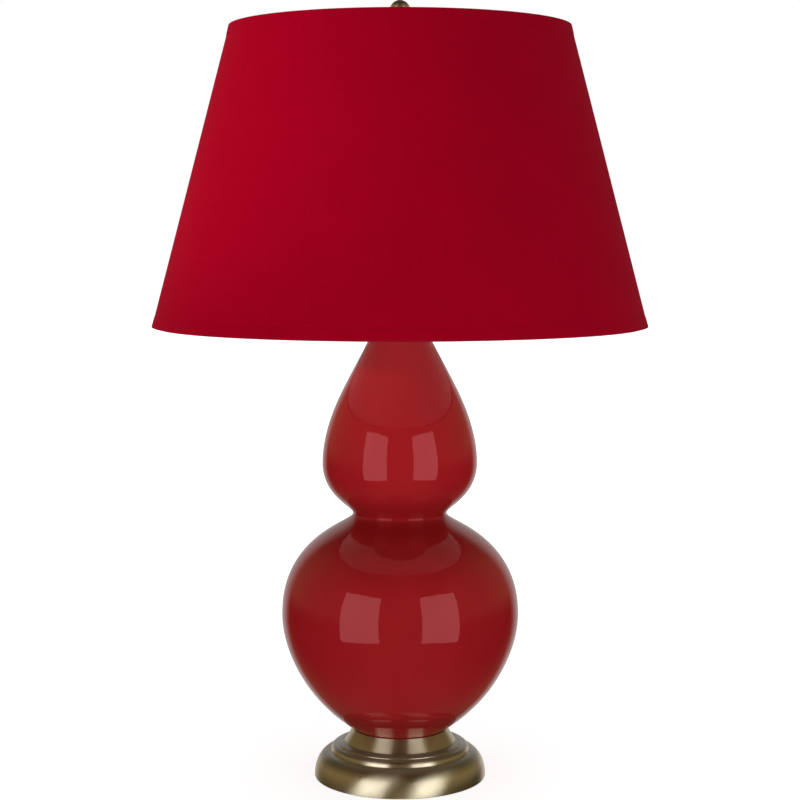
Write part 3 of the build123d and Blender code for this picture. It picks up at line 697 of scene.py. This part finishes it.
# ---- neck fittings --------------------------------------------------------------------------
def make_vase_cap():
    """The brass cap over the neck, with a rounded edge and a raised collar."""
    bottom, top = low("vase_cap"), high("vase_cap")
    rim = reach("vase_cap")
    bore, collar, plate = rim - 2.0, 12.0, top - 2.4
    cap_z = plate - 3.0
    outline = [(bore, bottom), (rim, bottom), (rim, cap_z)]
    outline += arc((rim - 3, cap_z), (3, 3), 10, 90, 8)
    outline += [(collar + 1.2, plate), (collar, plate + 0.5), (collar, top - 0.6), (collar - 0.6, top)]
    outline += [(PIPE, top), (PIPE, cap_z), (bore, cap_z)]
    cap = turned("vase_cap_brass", soften(outline, 0.4), steps=128)
    place(cap, "lamp", "antique_brass", antique_brass, "vase_cap")


def make_spacer():
    """The turned brass neck between the vase cap and the harp's saddle."""
    bottom, top = low("neck_spacer"), high("neck_spacer")
    end = reach("neck_spacer")
    middle, waist = (bottom + top) / 2, 6.9
    span = (top - bottom) / 2 - 3.0
    curve = [(waist + (end - waist - 0.6) * (abs(z - middle) / span) ** 2, z)
             for z in stepped(bottom + 3.0, top - 3.0, 0.8)]
    outline = [(PIPE, bottom), (end, bottom), (end, bottom + 2.5), (end - 0.6, bottom + 3.0)]
    outline += curve[1:-1] + [(end - 0.6, top - 3.0), (end, top - 2.5), (end, top), (PIPE, top)]
    spacer = turned("neck_spacer_brass", soften(outline, 0.3), steps=96)
    place(spacer, "lamp", "antique_brass", antique_brass, "neck_spacer")


make_vase_cap()
make_spacer()


# ---- harp -----------------------------------------------------------------------------------
SADDLE_THICKNESS, SADDLE_HALF_SPAN, SADDLE_WIDTH, SADDLE_HUB = 1.5, 29.0, 9.0, 11.0
PRONG_WIDTH, NARROW_FROM, NARROW_RUN = 4.0, 22.0, 5.0
HARP_WIRE, HARP_HALF, HARP_CROWN_HALF, HARP_BEND = 1.9, 58.0, 36.0, 24.0
HARP_STRAIGHT, HARP_FLARE_RISE, HARP_CROWN_DROP = 37.0, 41.0, 55.0
STUD, STUD_PITCH = 3.1, 0.94
saddle_z = low("harp_saddle")
harp_seat_z = high("harp_stud") - 13.0
harp_top_z = harp_seat_z - 3.2
harp_leg_x = SADDLE_HALF_SPAN + 0.1 + HARP_WIRE


def make_saddle():
    """A bent strip, round at the hub that the socket clamps, with a narrow prong at each end."""
    half = SADDLE_HALF_SPAN - SADDLE_THICKNESS / 2
    level = saddle_z + SADDLE_THICKNESS / 2
    corner = filleted([(0, level), (half, level), (half, high("harp_saddle"))], 1.6, 6)
    inner = [Vector((x, level)) for x in stepped(0, half - 2.6, 1.0)]
    tip = corner[-1]
    rise = [Vector((half, z)) for z in stepped(corner[-2].y, tip.y, 1.6)][1:]
    path = inner + corner[1:-1] + rise
    line = [Vector((-p.x, p.y)) for p in reversed(path[1:])] + path
    edge = ((1, 0.75), (0.94, 1), (-0.94, 1), (-1, 0.75))
    section = edge + tuple((side, -depth) for side, depth in reversed(edge))
    vertices = []
    for i, point in enumerate(line):
        way = (line[min(i + 1, len(line) - 1)] - line[max(i - 1, 0)]).normalized()
        out = Vector((-way.y, way.x)) * SADDLE_THICKNESS / 2
        hub = sqrt(max(0.0, SADDLE_HUB**2 - point.x**2))
        narrowed = eased((abs(point.x) - NARROW_FROM) / NARROW_RUN)
        width = max(hub, (SADDLE_WIDTH + (PRONG_WIDTH - SADDLE_WIDTH) * narrowed) / 2)
        if point.y > tip.y - 2:
            width *= sqrt(max(0.04, 1 - ((point.y - tip.y + 2) / 2.05) ** 2))
        for side, depth in section:
            at = point + out * depth
            vertices.append((at.x, width * side, at.y))
    faces = skin(len(line), len(section))
    saddle = mesh_object("harp_saddle_strip", vertices, faces, 50)
    place(saddle, "lamp", "fitting_brass", fitting_brass, "harp_saddle")


def make_harp():
    """The bent wire from one ferrule, out round the bulb, over the top and down to the other."""
    foot = low("harp_bow")
    bend = saddle_z + HARP_STRAIGHT
    right = [(harp_leg_x, foot), (harp_leg_x, bend), (HARP_HALF, bend + HARP_FLARE_RISE),
             (HARP_HALF, harp_top_z - HARP_CROWN_DROP), (HARP_CROWN_HALF, harp_top_z)]
    left = [(-x, z) for x, z in right]
    path = filleted(left + right[::-1], HARP_BEND)
    wire = mesh_object("harp_wire", *rod([(p.x, 0, p.y) for p in path], HARP_WIRE, (0, 1, 0), 24))
    place(wire, "lamp", "fitting_brass", fitting_brass, "harp_bow")


def make_stud():
    """The round block on the harp's crown and its threaded stud."""
    bottom, top = low("harp_stud"), high("harp_stud")
    block, edge = 8.0, 0.8
    outline = [(0, bottom), (block - edge, bottom), (block, bottom + edge)]
    outline += [(block, harp_seat_z - edge), (block - edge, harp_seat_z), (STUD, harp_seat_z)]
    outline += [(STUD, z) for z in stepped(harp_seat_z + 0.3, top - 0.5, 0.12)]
    outline += [(STUD - 0.5, top), (0, top)]
    thread = threaded(STUD_PITCH, 0.35, harp_seat_z + 0.5, top - 0.3, 0.6)
    stud = turned("harp_stud_block", outline, 72, False, thread)
    place(stud, "lamp", "fitting_brass", fitting_brass, "harp_stud")


def make_ferrule(side):
    """A sleeve with rolled ends that locks the harp's leg to the saddle's prong."""
    node = f"ferrule_{side}"
    lowest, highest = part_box(node)
    centre = (lowest.x + highest.x) / 2 / MM
    bottom, top = lowest.z / MM, highest.z / MM
    radius = (highest.x - lowest.x) / 2 / MM
    end = ((1.0, 0), (0.3, 0), (0, 0.5), (0, 1.2), (0.25, 1.6))
    outline = [(radius - inwards, bottom + up) for inwards, up in end]
    outline += [(radius - inwards, top - up) for inwards, up in reversed(end)]
    sleeve = turned(f"{node}_sleeve", soften(outline, 0.2, least=20), steps=48)
    sleeve.data.transform(Matrix.Translation((centre * MM, 0, 0)))
    place(sleeve, node, "fitting_brass", fitting_brass, node)


make_saddle()
make_harp()
make_stud()
make_ferrule("left")
make_ferrule("right")


# ---- socket ---------------------------------------------------------------------------------
socket_z = low("socket_cap")
SOCKET_CAP, SOCKET_CAP_WALL, HUB, HUB_HEIGHT, CONE_RISE = 19.6, 0.9, 8.0, 6.0, 6.5
SHELL, SHELL_WALL, SHELL_BEAD = 18.5, 0.6, 0.9
KEY_HEIGHT, KEY_STEM = 30.0, 2.4
FLUTES, COLLAR_SHARE, FLATTEN_SHARE, PADDLE_HALF = 16, 0.28, 0.16, 1.7
LAMP_PITCH = 3.63        # of the thread that the bulb and its socket share
key_z = socket_z + KEY_HEIGHT


def make_socket_cap():
    """The socket's lower cap: hub, cone and a cup with two rolled beads."""
    cone_z = socket_z + HUB_HEIGHT
    cup_z = cone_z + CONE_RISE
    top = high("socket_cap")
    inner = SOCKET_CAP - SOCKET_CAP_WALL
    outline = [(PIPE, socket_z), (HUB, socket_z), (HUB, cone_z)]
    outline += [(HUB + 2.2, cone_z + 0.6), (SOCKET_CAP - 2.2, cup_z - 1.3)]
    outline += [(SOCKET_CAP - 0.5, cup_z - 0.2), (SOCKET_CAP, cup_z + 1.2)]
    for centre in (cup_z + 4.2, top - 2.6):
        for inwards, up in ((0.25, -0.9), (0.0, 0.0), (0.25, 0.9)):
            outline.append((SOCKET_CAP - inwards, centre + up))
    outline += [(SOCKET_CAP - 0.05, top - 0.6), (SOCKET_CAP - 0.35, top), (inner, top)]
    outline += [(inner, cup_z + 0.5), (HUB, cone_z + 0.9), (PIPE, cone_z + 0.9)]
    cap = turned("socket_cap_brass", soften(outline, 0.5, least=15), steps=128)
    place(cap, "lamp", "fitting_brass", fitting_brass, "socket_cap")


def make_socket_shell():
    """The pressed shell over the card liner, with a rolled lip and the switch's hole."""
    bottom, top = low("socket_shell"), high("socket_shell")
    bore, groove, groove_z = SHELL - SHELL_WALL, SHELL - 0.35, key_z + 9.0
    outline = [(bore, bottom), (SHELL, bottom), (SHELL, groove_z), (groove, groove_z + 1.0)]
    outline += [(groove, groove_z + 2.5), (SHELL, groove_z + 3.5), (SHELL, top - 2 * SHELL_BEAD)]
    outline += arc((SHELL, top - SHELL_BEAD), (SHELL_BEAD, SHELL_BEAD), -80, 80, 8)
    outline += [(bore, top), (bore, groove_z + 3.5), (bore, groove_z)]
    shell = turned("socket_shell_brass", soften(outline, 0.25, least=20), steps=128)
    bored(shell, KEY_STEM + 0.6, -26, 0, (0, 0, key_z), -pi / 2)
    place(shell, "lamp", "fitting_brass", fitting_brass, "socket_shell")


def make_liner():
    """The card sleeve that stands a little out of the shell."""
    bottom, top = low("socket_liner"), high("socket_liner")
    outer = SHELL - SHELL_WALL - 0.1
    outline = [(outer - 0.7, bottom), (outer, bottom)]
    outline += [(outer, z) for z in stepped(bottom + 2, top - 0.5, 6)]
    outline += [(outer - 0.1, top), (outer - 0.6, top), (outer - 0.7, top - 0.2)]
    liner = turned("socket_card", outline, steps=96)
    bored(liner, KEY_STEM + 0.6, -26, 0, (0, 0, key_z), -pi / 2)
    place(liner, "lamp", "insulating_card", insulating_card, "socket_liner")


def make_set_screw():
    """The slotted screw that stops the cap from turning on the pipe."""
    z = socket_z + HUB_HEIGHT / 2
    head = HUB + 3.0
    outline = [(0, PIPE + 0.1), (1.6, PIPE + 0.1), (1.6, head - 0.3), (1.3, head), (0, head)]
    screw = turned("socket_set_screw_head", outline, 40, False)
    screw.data.transform(Matrix.Translation((0, 0, z * MM)) @ Matrix.Rotation(pi / 2, 4, "X"))
    slot_outline = [(-0.3, -2), (0.3, -2), (0.3, 2), (-0.3, 2)]
    depth = [-(head - 0.8), -(head + 1)]
    vertices = [(x, y, z + dz) for y in depth for x, dz in slot_outline]
    faces = [(0, 1, 2, 3), (7, 6, 5, 4), (0, 4, 5, 1), (1, 5, 6, 2), (2, 6, 7, 3), (3, 7, 4, 0)]
    cut(screw, mesh_object("screw_slot", vertices, faces))
    place(screw, "lamp", "zinc_steel", zinc_steel, "socket_set_screw")


def make_screw_shell():
    """The rolled-thread shell that the bulb screws into."""
    bottom, top = low("socket_screw_shell"), high("socket_screw_shell")
    radius = reach("socket_screw_shell")
    heights = stepped(bottom, top, 0.4)
    outline = [(radius, z) for z in heights] + [(radius - 0.45, z) for z in reversed(heights)]
    thread = turned("socket_thread", outline, 96, shape=threaded(LAMP_PITCH, 0.3, bottom + 1, top))
    place(thread, "lamp", "fitting_brass", fitting_brass, "socket_screw_shell")


def make_knob():
    """The turn key: a fluted collar that flattens into a paddle with rounded edges."""
    lowest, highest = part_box("switch_knob")
    near, far = -highest.y / MM, -lowest.y / MM
    radius = (highest.z - lowest.z) / 2 / MM
    length = far - near
    vertices = []
    rings, sides = 26, 64
    for i in range(rings + 1):
        t = i / rings
        flatten = eased((t - COLLAR_SHARE) / FLATTEN_SHARE)
        end = 1 - 0.5 * max(0.0, (t - 0.9) / 0.1) ** 2 - 0.12 * max(0.0, (0.06 - t) / 0.06)
        for k in range(sides):
            a = 2 * pi * k / sides
            flute = 1 - 0.035 * (1 - flatten) * (0.5 - 0.5 * cos(FLUTES * a))
            wide = radius * flute * (1 - 0.02 * flatten)
            thin = wide + (PADDLE_HALF - wide) * flatten
            edge = abs(sin(a)) ** (1 - 0.35 * flatten) * (1 if sin(a) >= 0 else -1)
            side = abs(cos(a)) ** (1 - 0.55 * flatten) * (1 if cos(a) >= 0 else -1)
            vertices.append((thin * side * end, -(near + length * t), key_z + wide * edge * end))
    knob = mesh_object("turn_key", vertices, skin(rings + 1, sides), 45)
    place(knob, "switch", "black_phenolic", black_phenolic, "switch_knob")


make_socket_cap()
make_socket_shell()
make_liner()
make_set_screw()
make_screw_shell()
make_knob()


# ---- bulb -----------------------------------------------------------------------------------
BULB, BULB_NECK, BULB_NECK_PULL, BULB_SHOULDER_PULL = 33.5, 12.4, 26.0, 34.0


def make_bulb():
    """A soft white bulb: glass, threaded cap, black insulator and solder button."""
    cap_top, top = low("bulb_globe"), high("bulb_globe")
    centre = top - BULB
    glass = [(BULB_NECK, cap_top - 1.5), (BULB_NECK, cap_top)]
    glass += bezier((BULB_NECK, cap_top), (BULB_NECK + 1, cap_top + BULB_NECK_PULL),
                    (BULB, centre - BULB_SHOULDER_PULL), (BULB, centre), 36)
    glass += arc((0, centre), (BULB, BULB), 0, 90, 30)[1:]
    glass[-1] = (0, top)
    globe = turned("bulb_envelope", [(0, cap_top - 1.5)] + glass, 128, False)
    place(globe, "bulb", "bulb_glass", bulb_glass, "bulb_globe")
    bottom = low("bulb_cap")
    radius = reach("bulb_cap")
    outline = [(0, bottom), (radius - 3, bottom), (radius - 1.2, bottom + 0.8)]
    outline += [(radius, z) for z in stepped(bottom + 2, cap_top - 4, 0.35)]
    outline += [(radius - 0.5, cap_top - 3), (radius - 0.2, cap_top - 0.6), (radius - 0.5, cap_top)]
    outline += [(BULB_NECK, cap_top), (0, cap_top)]
    cap = turned("bulb_thread", outline, 96, False, threaded(LAMP_PITCH, 0.9, bottom + 2, cap_top - 4))
    place(cap, "bulb", "bulb_metal", bulb_metal, "bulb_cap")
    dress("bulb_insulator", black_phenolic)
    dress("bulb_button", bulb_metal)


make_bulb()


# ---- shade ----------------------------------------------------------------------------------
SHADE_TOP, SHADE_BOTTOM, SHADE_HEIGHT = 165.1, 241.3, 287.6
CLOTH, LINER, TRIM, TRIM_WIDTH = 0.6, 0.9, 0.5, 10.0
RING, RING_STEPS, ARM, GAP = 1.5, 192, 1.6, 0.1
FITTER, FITTER_HOLE, FITTER_THICKNESS = 12.0, 3.4, 2.0
ARM_ANGLES = (90, 210, 330)
LAP, LAP_HEIGHT, LAP_RISE_RUN = 12.0, 0.35, 0.4
HEM_EDGE = 0.04          # the hem's edge is pressed this thin
slope = atan((SHADE_BOTTOM - SHADE_TOP) / SHADE_HEIGHT)
slant = SHADE_HEIGHT / cos(slope)
shade_bottom = high("shade_fabric") - SHADE_HEIGHT
ring_depth = CLOTH + GAP + LINER + GAP + RING
trim_back = ring_depth + RING + GAP


def shade_point(along, depth):
    """Radius and height of a point on the shade's wall: along the slant, depth inwards."""
    return (SHADE_BOTTOM - along * sin(slope) - depth * cos(slope),
            shade_bottom + along * cos(slope) - depth * sin(slope))


def shade_angles():
    """Even steps round the shade, with close ones at the back for the lapped seam."""
    angles = [BACK + 2 * pi * (i + 0.5) / 256 for i in range(256)]
    offsets = (-1.5, -1.2, -LAP_RISE_RUN, 0.0, LAP - 0.4, LAP, LAP + 1.2)
    near = [BACK + offset / SHADE_BOTTOM for offset in offsets]
    return sorted(set(a % (2 * pi) for a in angles + near))


def lap_rise(angle):
    """How far the lapped edge lifts the cloth at the back."""
    offset = (angle - BACK) * SHADE_BOTTOM
    if offset < -LAP_RISE_RUN or offset > LAP:
        return 0.0
    start = min(1.0, (offset + LAP_RISE_RUN) / LAP_RISE_RUN)
    return LAP_HEIGHT * start * (1 - 0.75 * offset / LAP)


def pulled(r, z, angle):
    """The shade's slight departure from a true cone, shared by everything in its wall."""
    share = (z - shade_bottom) / SHADE_HEIGHT
    wave = 0.22 * sin(2 * angle + 0.6) * (1 - share) + 0.12 * sin(3 * (angle - BACK)) * share
    wave += 0.05 * sin(7 * angle + 3 * share)
    return r + wave, z


def lapped(r, z, angle):
    """The same, lifted by the lap at the back."""
    at, height = pulled(r, z, angle)
    return at + lap_rise(angle), height


def make_fabric():
    """The cloth cone, one lapped seam at the back."""
    outer = [shade_point(slant * i / 24, 0) for i in range(25)]
    inner = [shade_point(slant * i / 24, CLOTH) for i in reversed(range(25))]
    inner_radii = {r for r, _ in inner}

    def shape(r, z, angle):
        return (pulled if r in inner_radii else lapped)(r, z, angle)

    fabric = turned("shade_cloth_cone", outer + inner, shape=shape, angles=shade_angles())
    return place(fabric, "shade", "shade_cloth", shade_cloth, "shade_fabric")


def hem(name, edge, inwards, node):
    """A folded strip round an edge: over the cloth outside and round the wire inside."""
    outside, lip = -GAP, edge - inwards * GAP
    fold = lip - inwards * TRIM
    end = edge + inwards * TRIM_WIDTH
    inner_end = edge + inwards * (2 * RING + TRIM)
    corners = [(end, outside), (end, outside - HEM_EDGE)]
    for t in (0.25, 0.5, 0.75):
        corners.append((end + (fold - end) * t, outside - HEM_EDGE - (TRIM - HEM_EDGE) * sqrt(t)))
    corners += [(fold, outside - TRIM), (fold, trim_back + TRIM), (inner_end, trim_back + TRIM)]
    corners += [(inner_end, trim_back), (lip, trim_back), (lip, outside)]
    outline = soften([shade_point(*c) for c in corners], 0.5, least=30)
    piece = turned(name, outline, shape=lapped, angles=shade_angles())
    return place(piece, "shade", "shade_cloth", hem_cloth, node)


def make_liner_cone():
    """The white styrene that the cloth is laminated to."""
    front, back = CLOTH + GAP, CLOTH + GAP + LINER
    outer = [shade_point(slant * i / 12, front) for i in range(13)]
    inner = [shade_point(slant * i / 12, back) for i in reversed(range(13))]
    liner = turned("shade_lining", outer + inner, shape=pulled, angles=shade_angles())
    return place(liner, "shade", "shade_styrene", shade_styrene, "shade_liner")


def ring_points(edge, inwards):
    """Points round a wire ring held in a hem."""
    radius, height = shade_point(edge + inwards * RING, ring_depth)
    points = []
    for i in range(RING_STEPS):
        a = 2 * pi * i / RING_STEPS
        r, z = pulled(radius, height, a)
        points.append((r * cos(a), r * sin(a), z))
    return points


def make_rings():
    """The bottom ring, and the top ring with its three arms and the washer that the finial holds."""
    bottom = mesh_object("shade_low_ring", *rod(ring_points(0, 1), RING, (0, 0, 1), 16, True))
    place(bottom, "shade", "zinc_steel", zinc_steel, "shade_bottom_ring")
    ring_radius, ring_z = shade_point(slant - RING, ring_depth)
    parts = [rod(ring_points(slant, -1), RING, (0, 0, 1), 16, True)]
    washer_low = low("shade_spider")
    washer_high, middle = washer_low + FITTER_THICKNESS, washer_low + FITTER_THICKNESS / 2
    for angle in ARM_ANGLES:
        a = radians(angle)
        way, side = Vector((cos(a), sin(a), 0)), Vector((-sin(a), cos(a), 0))
        start = way * (FITTER - ARM) + Vector((0, 0, middle))
        end = way * ring_radius + Vector((0, 0, ring_z))
        points = [start.lerp(end, i / 10) for i in range(11)]
        parts.append(rod(points, ARM, side, 20))
        weld = [start + way * d for d in (-1.2, 0.4, 2.2)]
        parts.append(rod(weld, ARM + 0.45, side, 16, end_round=0.7))
    section = [(FITTER_HOLE, washer_low), (FITTER, washer_low)]
    section += [(FITTER, washer_high), (FITTER_HOLE, washer_high)]
    washer = turned("washer", soften(section, 0.4), 72)
    vertices = [v.co / MM for v in washer.data.vertices]
    faces = [tuple(p.vertices) for p in washer.data.polygons]
    bpy.data.objects.remove(washer)
    spider = joined("shade_spider_frame", parts + [(vertices, faces)])
    place(spider, "shade", "fitting_brass", fitting_brass, "shade_spider")


fabric = make_fabric()
top_hem = hem("shade_top_hem", slant, -1, "shade_top_trim")
bottom_hem = hem("shade_bottom_hem", 0, 1, "shade_bottom_trim")
make_liner_cone()
make_rings()


# ---- finial ---------------------------------------------------------------------------------
BALL_LIFT = 22.0
FINIAL_BORE, FINIAL_DEPTH, FINIAL_FOOT, FINIAL_NECK, FINIAL_TIP = 3.2, 14.0, 7.6, 4.7, 2.4


def make_finial():
    """A turned brass finial: foot, waisted neck, bead, ball and tip, bored from below."""
    bottom, top = low("finial"), high("finial")
    ball = reach("finial")
    centre = bottom + BALL_LIFT
    outline = [(0, bottom + FINIAL_DEPTH), (FINIAL_BORE, bottom + FINIAL_DEPTH), (FINIAL_BORE, bottom)]
    foot = (FINIAL_FOOT - 0.5, bottom + 2.6)
    outline += [(FINIAL_FOOT, bottom), (FINIAL_FOOT, bottom + 1.7), foot]
    neck = (FINIAL_NECK, bottom + 9.6)
    outline += bezier(foot, (5.6, bottom + 3.2), (FINIAL_NECK, bottom + 6.0), neck, 12)
    drop = atan2(-sqrt(ball**2 - FINIAL_NECK**2), FINIAL_NECK)
    rise = atan2(sqrt(ball**2 - FINIAL_TIP**2), FINIAL_TIP)
    under_ball = centre + ball * sin(drop)
    for out, down in ((0, 1.9), (0.9, 1.3), (0.9, 0.6), (0, 0)):
        outline.append((FINIAL_NECK + out, under_ball - down))
    outline += arc((0, centre), (ball, ball), degrees(drop), degrees(rise), 44)
    outline += arc((0, top - FINIAL_TIP), (FINIAL_TIP, FINIAL_TIP), 0, 90, 8)
    outline[-1] = (0, top)
    finial = turned("ball_finial", soften(outline, 0.3, closed=False, least=24), 96, False)
    place(finial, "finial", "antique_brass", antique_brass, "finial")


make_finial()


# ---- studio, in metres ----------------------------------------------------------------------
CAMERA_DISTANCE, CAMERA_HEIGHT, CAMERA_PITCH, CAMERA_LENS = 1.8, 0.55, 5.48, 82.5
BOX_DISTANCE, BOX_AZIMUTH = 1.6, 38.0
BOX_WIDTH, BOX_LOW, BOX_HIGH, BOX_RADIANCE = 1.06, -0.42, 1.05, 2.1
FILL_HEIGHT, FILL_AIM, FILL_SIZE, FILL_RADIANCE = 0.15, 0.35, (0.9, 0.9), 2.6
KEY_AT, KEY_AIM = (-2.40, -0.97, 0.97), (0, 0, 0.63)
KEY_BEAM, KEY_EDGE, KEY_POWER, KEY_SOFTNESS = 12.0, 0.6, 125, 0.10
BACK_FILLS = (                               # name, place, aim, size and radiance
    ("back_fill", (0, 2.2, 1.0), (0, 0, 0.4), (1.4, 1.4), 0.8),
    ("low_fill", (0, 1.5, -0.8), (0, -0.1, 0.6), (1.2, 1.2), 2.2),
)
COOL = (0.94, 1.0, 1.12)                     # tint of the softboxes in what reflects them
AMBIENT = 0.46
WALL_TINT, WALL_GLOW = (0.97, 0.98, 1.05, 1), 0.45
ROOM_TINT, TABLE_GLOW = (1, 0.77, 0.40, 1), 0.12
FRONT_LOW, FRONT_HIGH, SIDE_GLOW = 0.15, 0.05, 0.28
FLOOR_REACH = 9000       # in millimetres


def make_floor():
    """A plain pale floor, far larger than the view, lit from within as a light table is."""
    outline = [(FLOOR_REACH * i / 12, 0) for i in range(13)]
    floor = turned("floor", outline, 96, False)
    finish = Finish("pale_floor", Roughness=0.9, Specular_IOR_Level=0.1, Emission_Color=(1.0, 1.0, 1.0))
    tone = finish.mix(finish.noise(0.4, 3), (0.60, 0.60, 0.60), (0.63, 0.63, 0.63))
    # Painted light: the floor's glow is weaker near the lamp's axis and rises to full white by 2.5 m out.
    glow = finish.spread(finish.away(), 0.3, 2.5, 0.72, 1.0)
    finish.paint(Base_Color=tone, Emission_Strength=glow)
    floor.data.materials.append(finish.material)
    floor.visible_glossy = False
    floor.visible_diffuse = False
    floor.visible_shadow = False


def make_world():
    """White behind the object, and even light on what is matt. What is glossy reflects a dim warm
    room that is darkest below, a cool pale wall behind the object and a pale table under it."""
    world = bpy.data.worlds.new("studio")
    bpy.context.scene.world = world
    world.use_nodes = True
    world.node_tree.nodes.clear()
    nodes = Nodes(world.node_tree)

    def ease(value, start, end, low_out, high_out):
        return nodes.spread(value, start, end, low_out, high_out, "SMOOTHSTEP")

    def glow(tint, strength):
        return nodes.node("Background", {0: tint, 1: strength}).outputs[0]

    # The direction that is looked in, as a unit vector: y runs to the back, and z upwards.
    direction = nodes.node("TexCoord").outputs["Generated"]
    x, y, z = nodes.node("SeparateXYZ", {0: direction}).outputs
    aside = nodes.math("ABSOLUTE", x)
    wall = ease(y, 0.68, 0.88, 0.0, WALL_GLOW)
    table = nodes.math("MULTIPLY", ease(z, -0.80, -0.92, 0.0, TABLE_GLOW), aside)
    front = ease(z, 0.35, 0.75, FRONT_LOW, FRONT_HIGH)
    sides = ease(aside, 0.45, 0.85, front, ease(z, -0.15, 0.08, 0.0, SIDE_GLOW))
    room = glow(ROOM_TINT, nodes.math("ADD", sides, table))
    reflected = nodes.node("AddShader", {0: room, 1: glow(WALL_TINT, wall)}).outputs[0]
    white = (1, 1, 1, 1)
    path = nodes.node("LightPath").outputs
    glossy, seen = path["Is Glossy Ray"], path["Is Camera Ray"]
    lit = nodes.node("MixShader", {0: glossy, 1: glow(white, AMBIENT), 2: reflected}).outputs[0]
    final = nodes.node("MixShader", {0: seen, 1: lit, 2: glow(white, 1.0)}).outputs[0]
    nodes.node("OutputWorld", {0: final})


def hang(light, place_at, aim, glossy, diffuse):
    """Puts a light in the studio, out of the camera's sight, and points it."""
    obj = bpy.data.objects.new(light.name, light)
    obj.location = place_at
    obj.rotation_euler = (Vector(aim) - Vector(place_at)).to_track_quat("-Z", "Y").to_euler()
    obj.visible_camera = False
    obj.visible_glossy = glossy
    obj.visible_diffuse = diffuse
    bpy.context.scene.collection.objects.link(obj)


def softbox(name, place_at, aim, size, radiance, reflected=False):
    """A rectangular soft light. A reflected one shows only in gloss, another only on matt faces."""
    light = bpy.data.lights.new(name, "AREA")
    light.shape = "RECTANGLE"
    light.size, light.size_y = size
    light.energy = radiance * size[0] * size[1] * pi
    light.color = COOL if reflected else (1, 1, 1)
    hang(light, place_at, aim, glossy=reflected, diffuse=not reflected)


def make_key():
    """A round beam with a soft edge, on the left of the shade."""
    light = bpy.data.lights.new("shade_key", "SPOT")
    light.energy = KEY_POWER
    light.spot_size = radians(KEY_BEAM)
    light.spot_blend = KEY_EDGE
    light.shadow_soft_size = KEY_SOFTNESS
    hang(light, KEY_AT, KEY_AIM, glossy=False, diffuse=True)


def make_lights():
    """Two tall softboxes that the glaze and brass reflect, soft fills all round, and the key."""
    middle = (BOX_LOW + BOX_HIGH) / 2
    box_size = (BOX_WIDTH, BOX_HIGH - BOX_LOW)
    a = radians(BOX_AZIMUTH)
    for name, side in (("left", -1), ("right", 1)):
        x, y = side * BOX_DISTANCE * sin(a), -BOX_DISTANCE * cos(a)
        softbox(f"{name}_softbox", (x, y, middle), (0, 0, middle), box_size, BOX_RADIANCE, True)
        softbox(f"{name}_fill", (x, y, FILL_HEIGHT), (0, 0, FILL_AIM), FILL_SIZE, FILL_RADIANCE)
    make_key()
    for fill in BACK_FILLS:
        softbox(*fill)


def make_camera():
    """The photograph's viewing angle: above the shade's lower edge, looking down a little."""
    data = bpy.data.cameras.new("camera")
    data.lens = CAMERA_LENS
    data.dof.use_dof = False
    camera = bpy.data.objects.new("camera", data)
    camera.location = (0, -CAMERA_DISTANCE, CAMERA_HEIGHT)
    camera.rotation_euler = (radians(90 - CAMERA_PITCH), 0, 0)
    bpy.context.scene.collection.objects.link(camera)
    bpy.context.scene.camera = camera


make_floor()
make_world()
make_lights()
make_camera()
bpy.context.scene.view_settings.view_transform = "Standard"
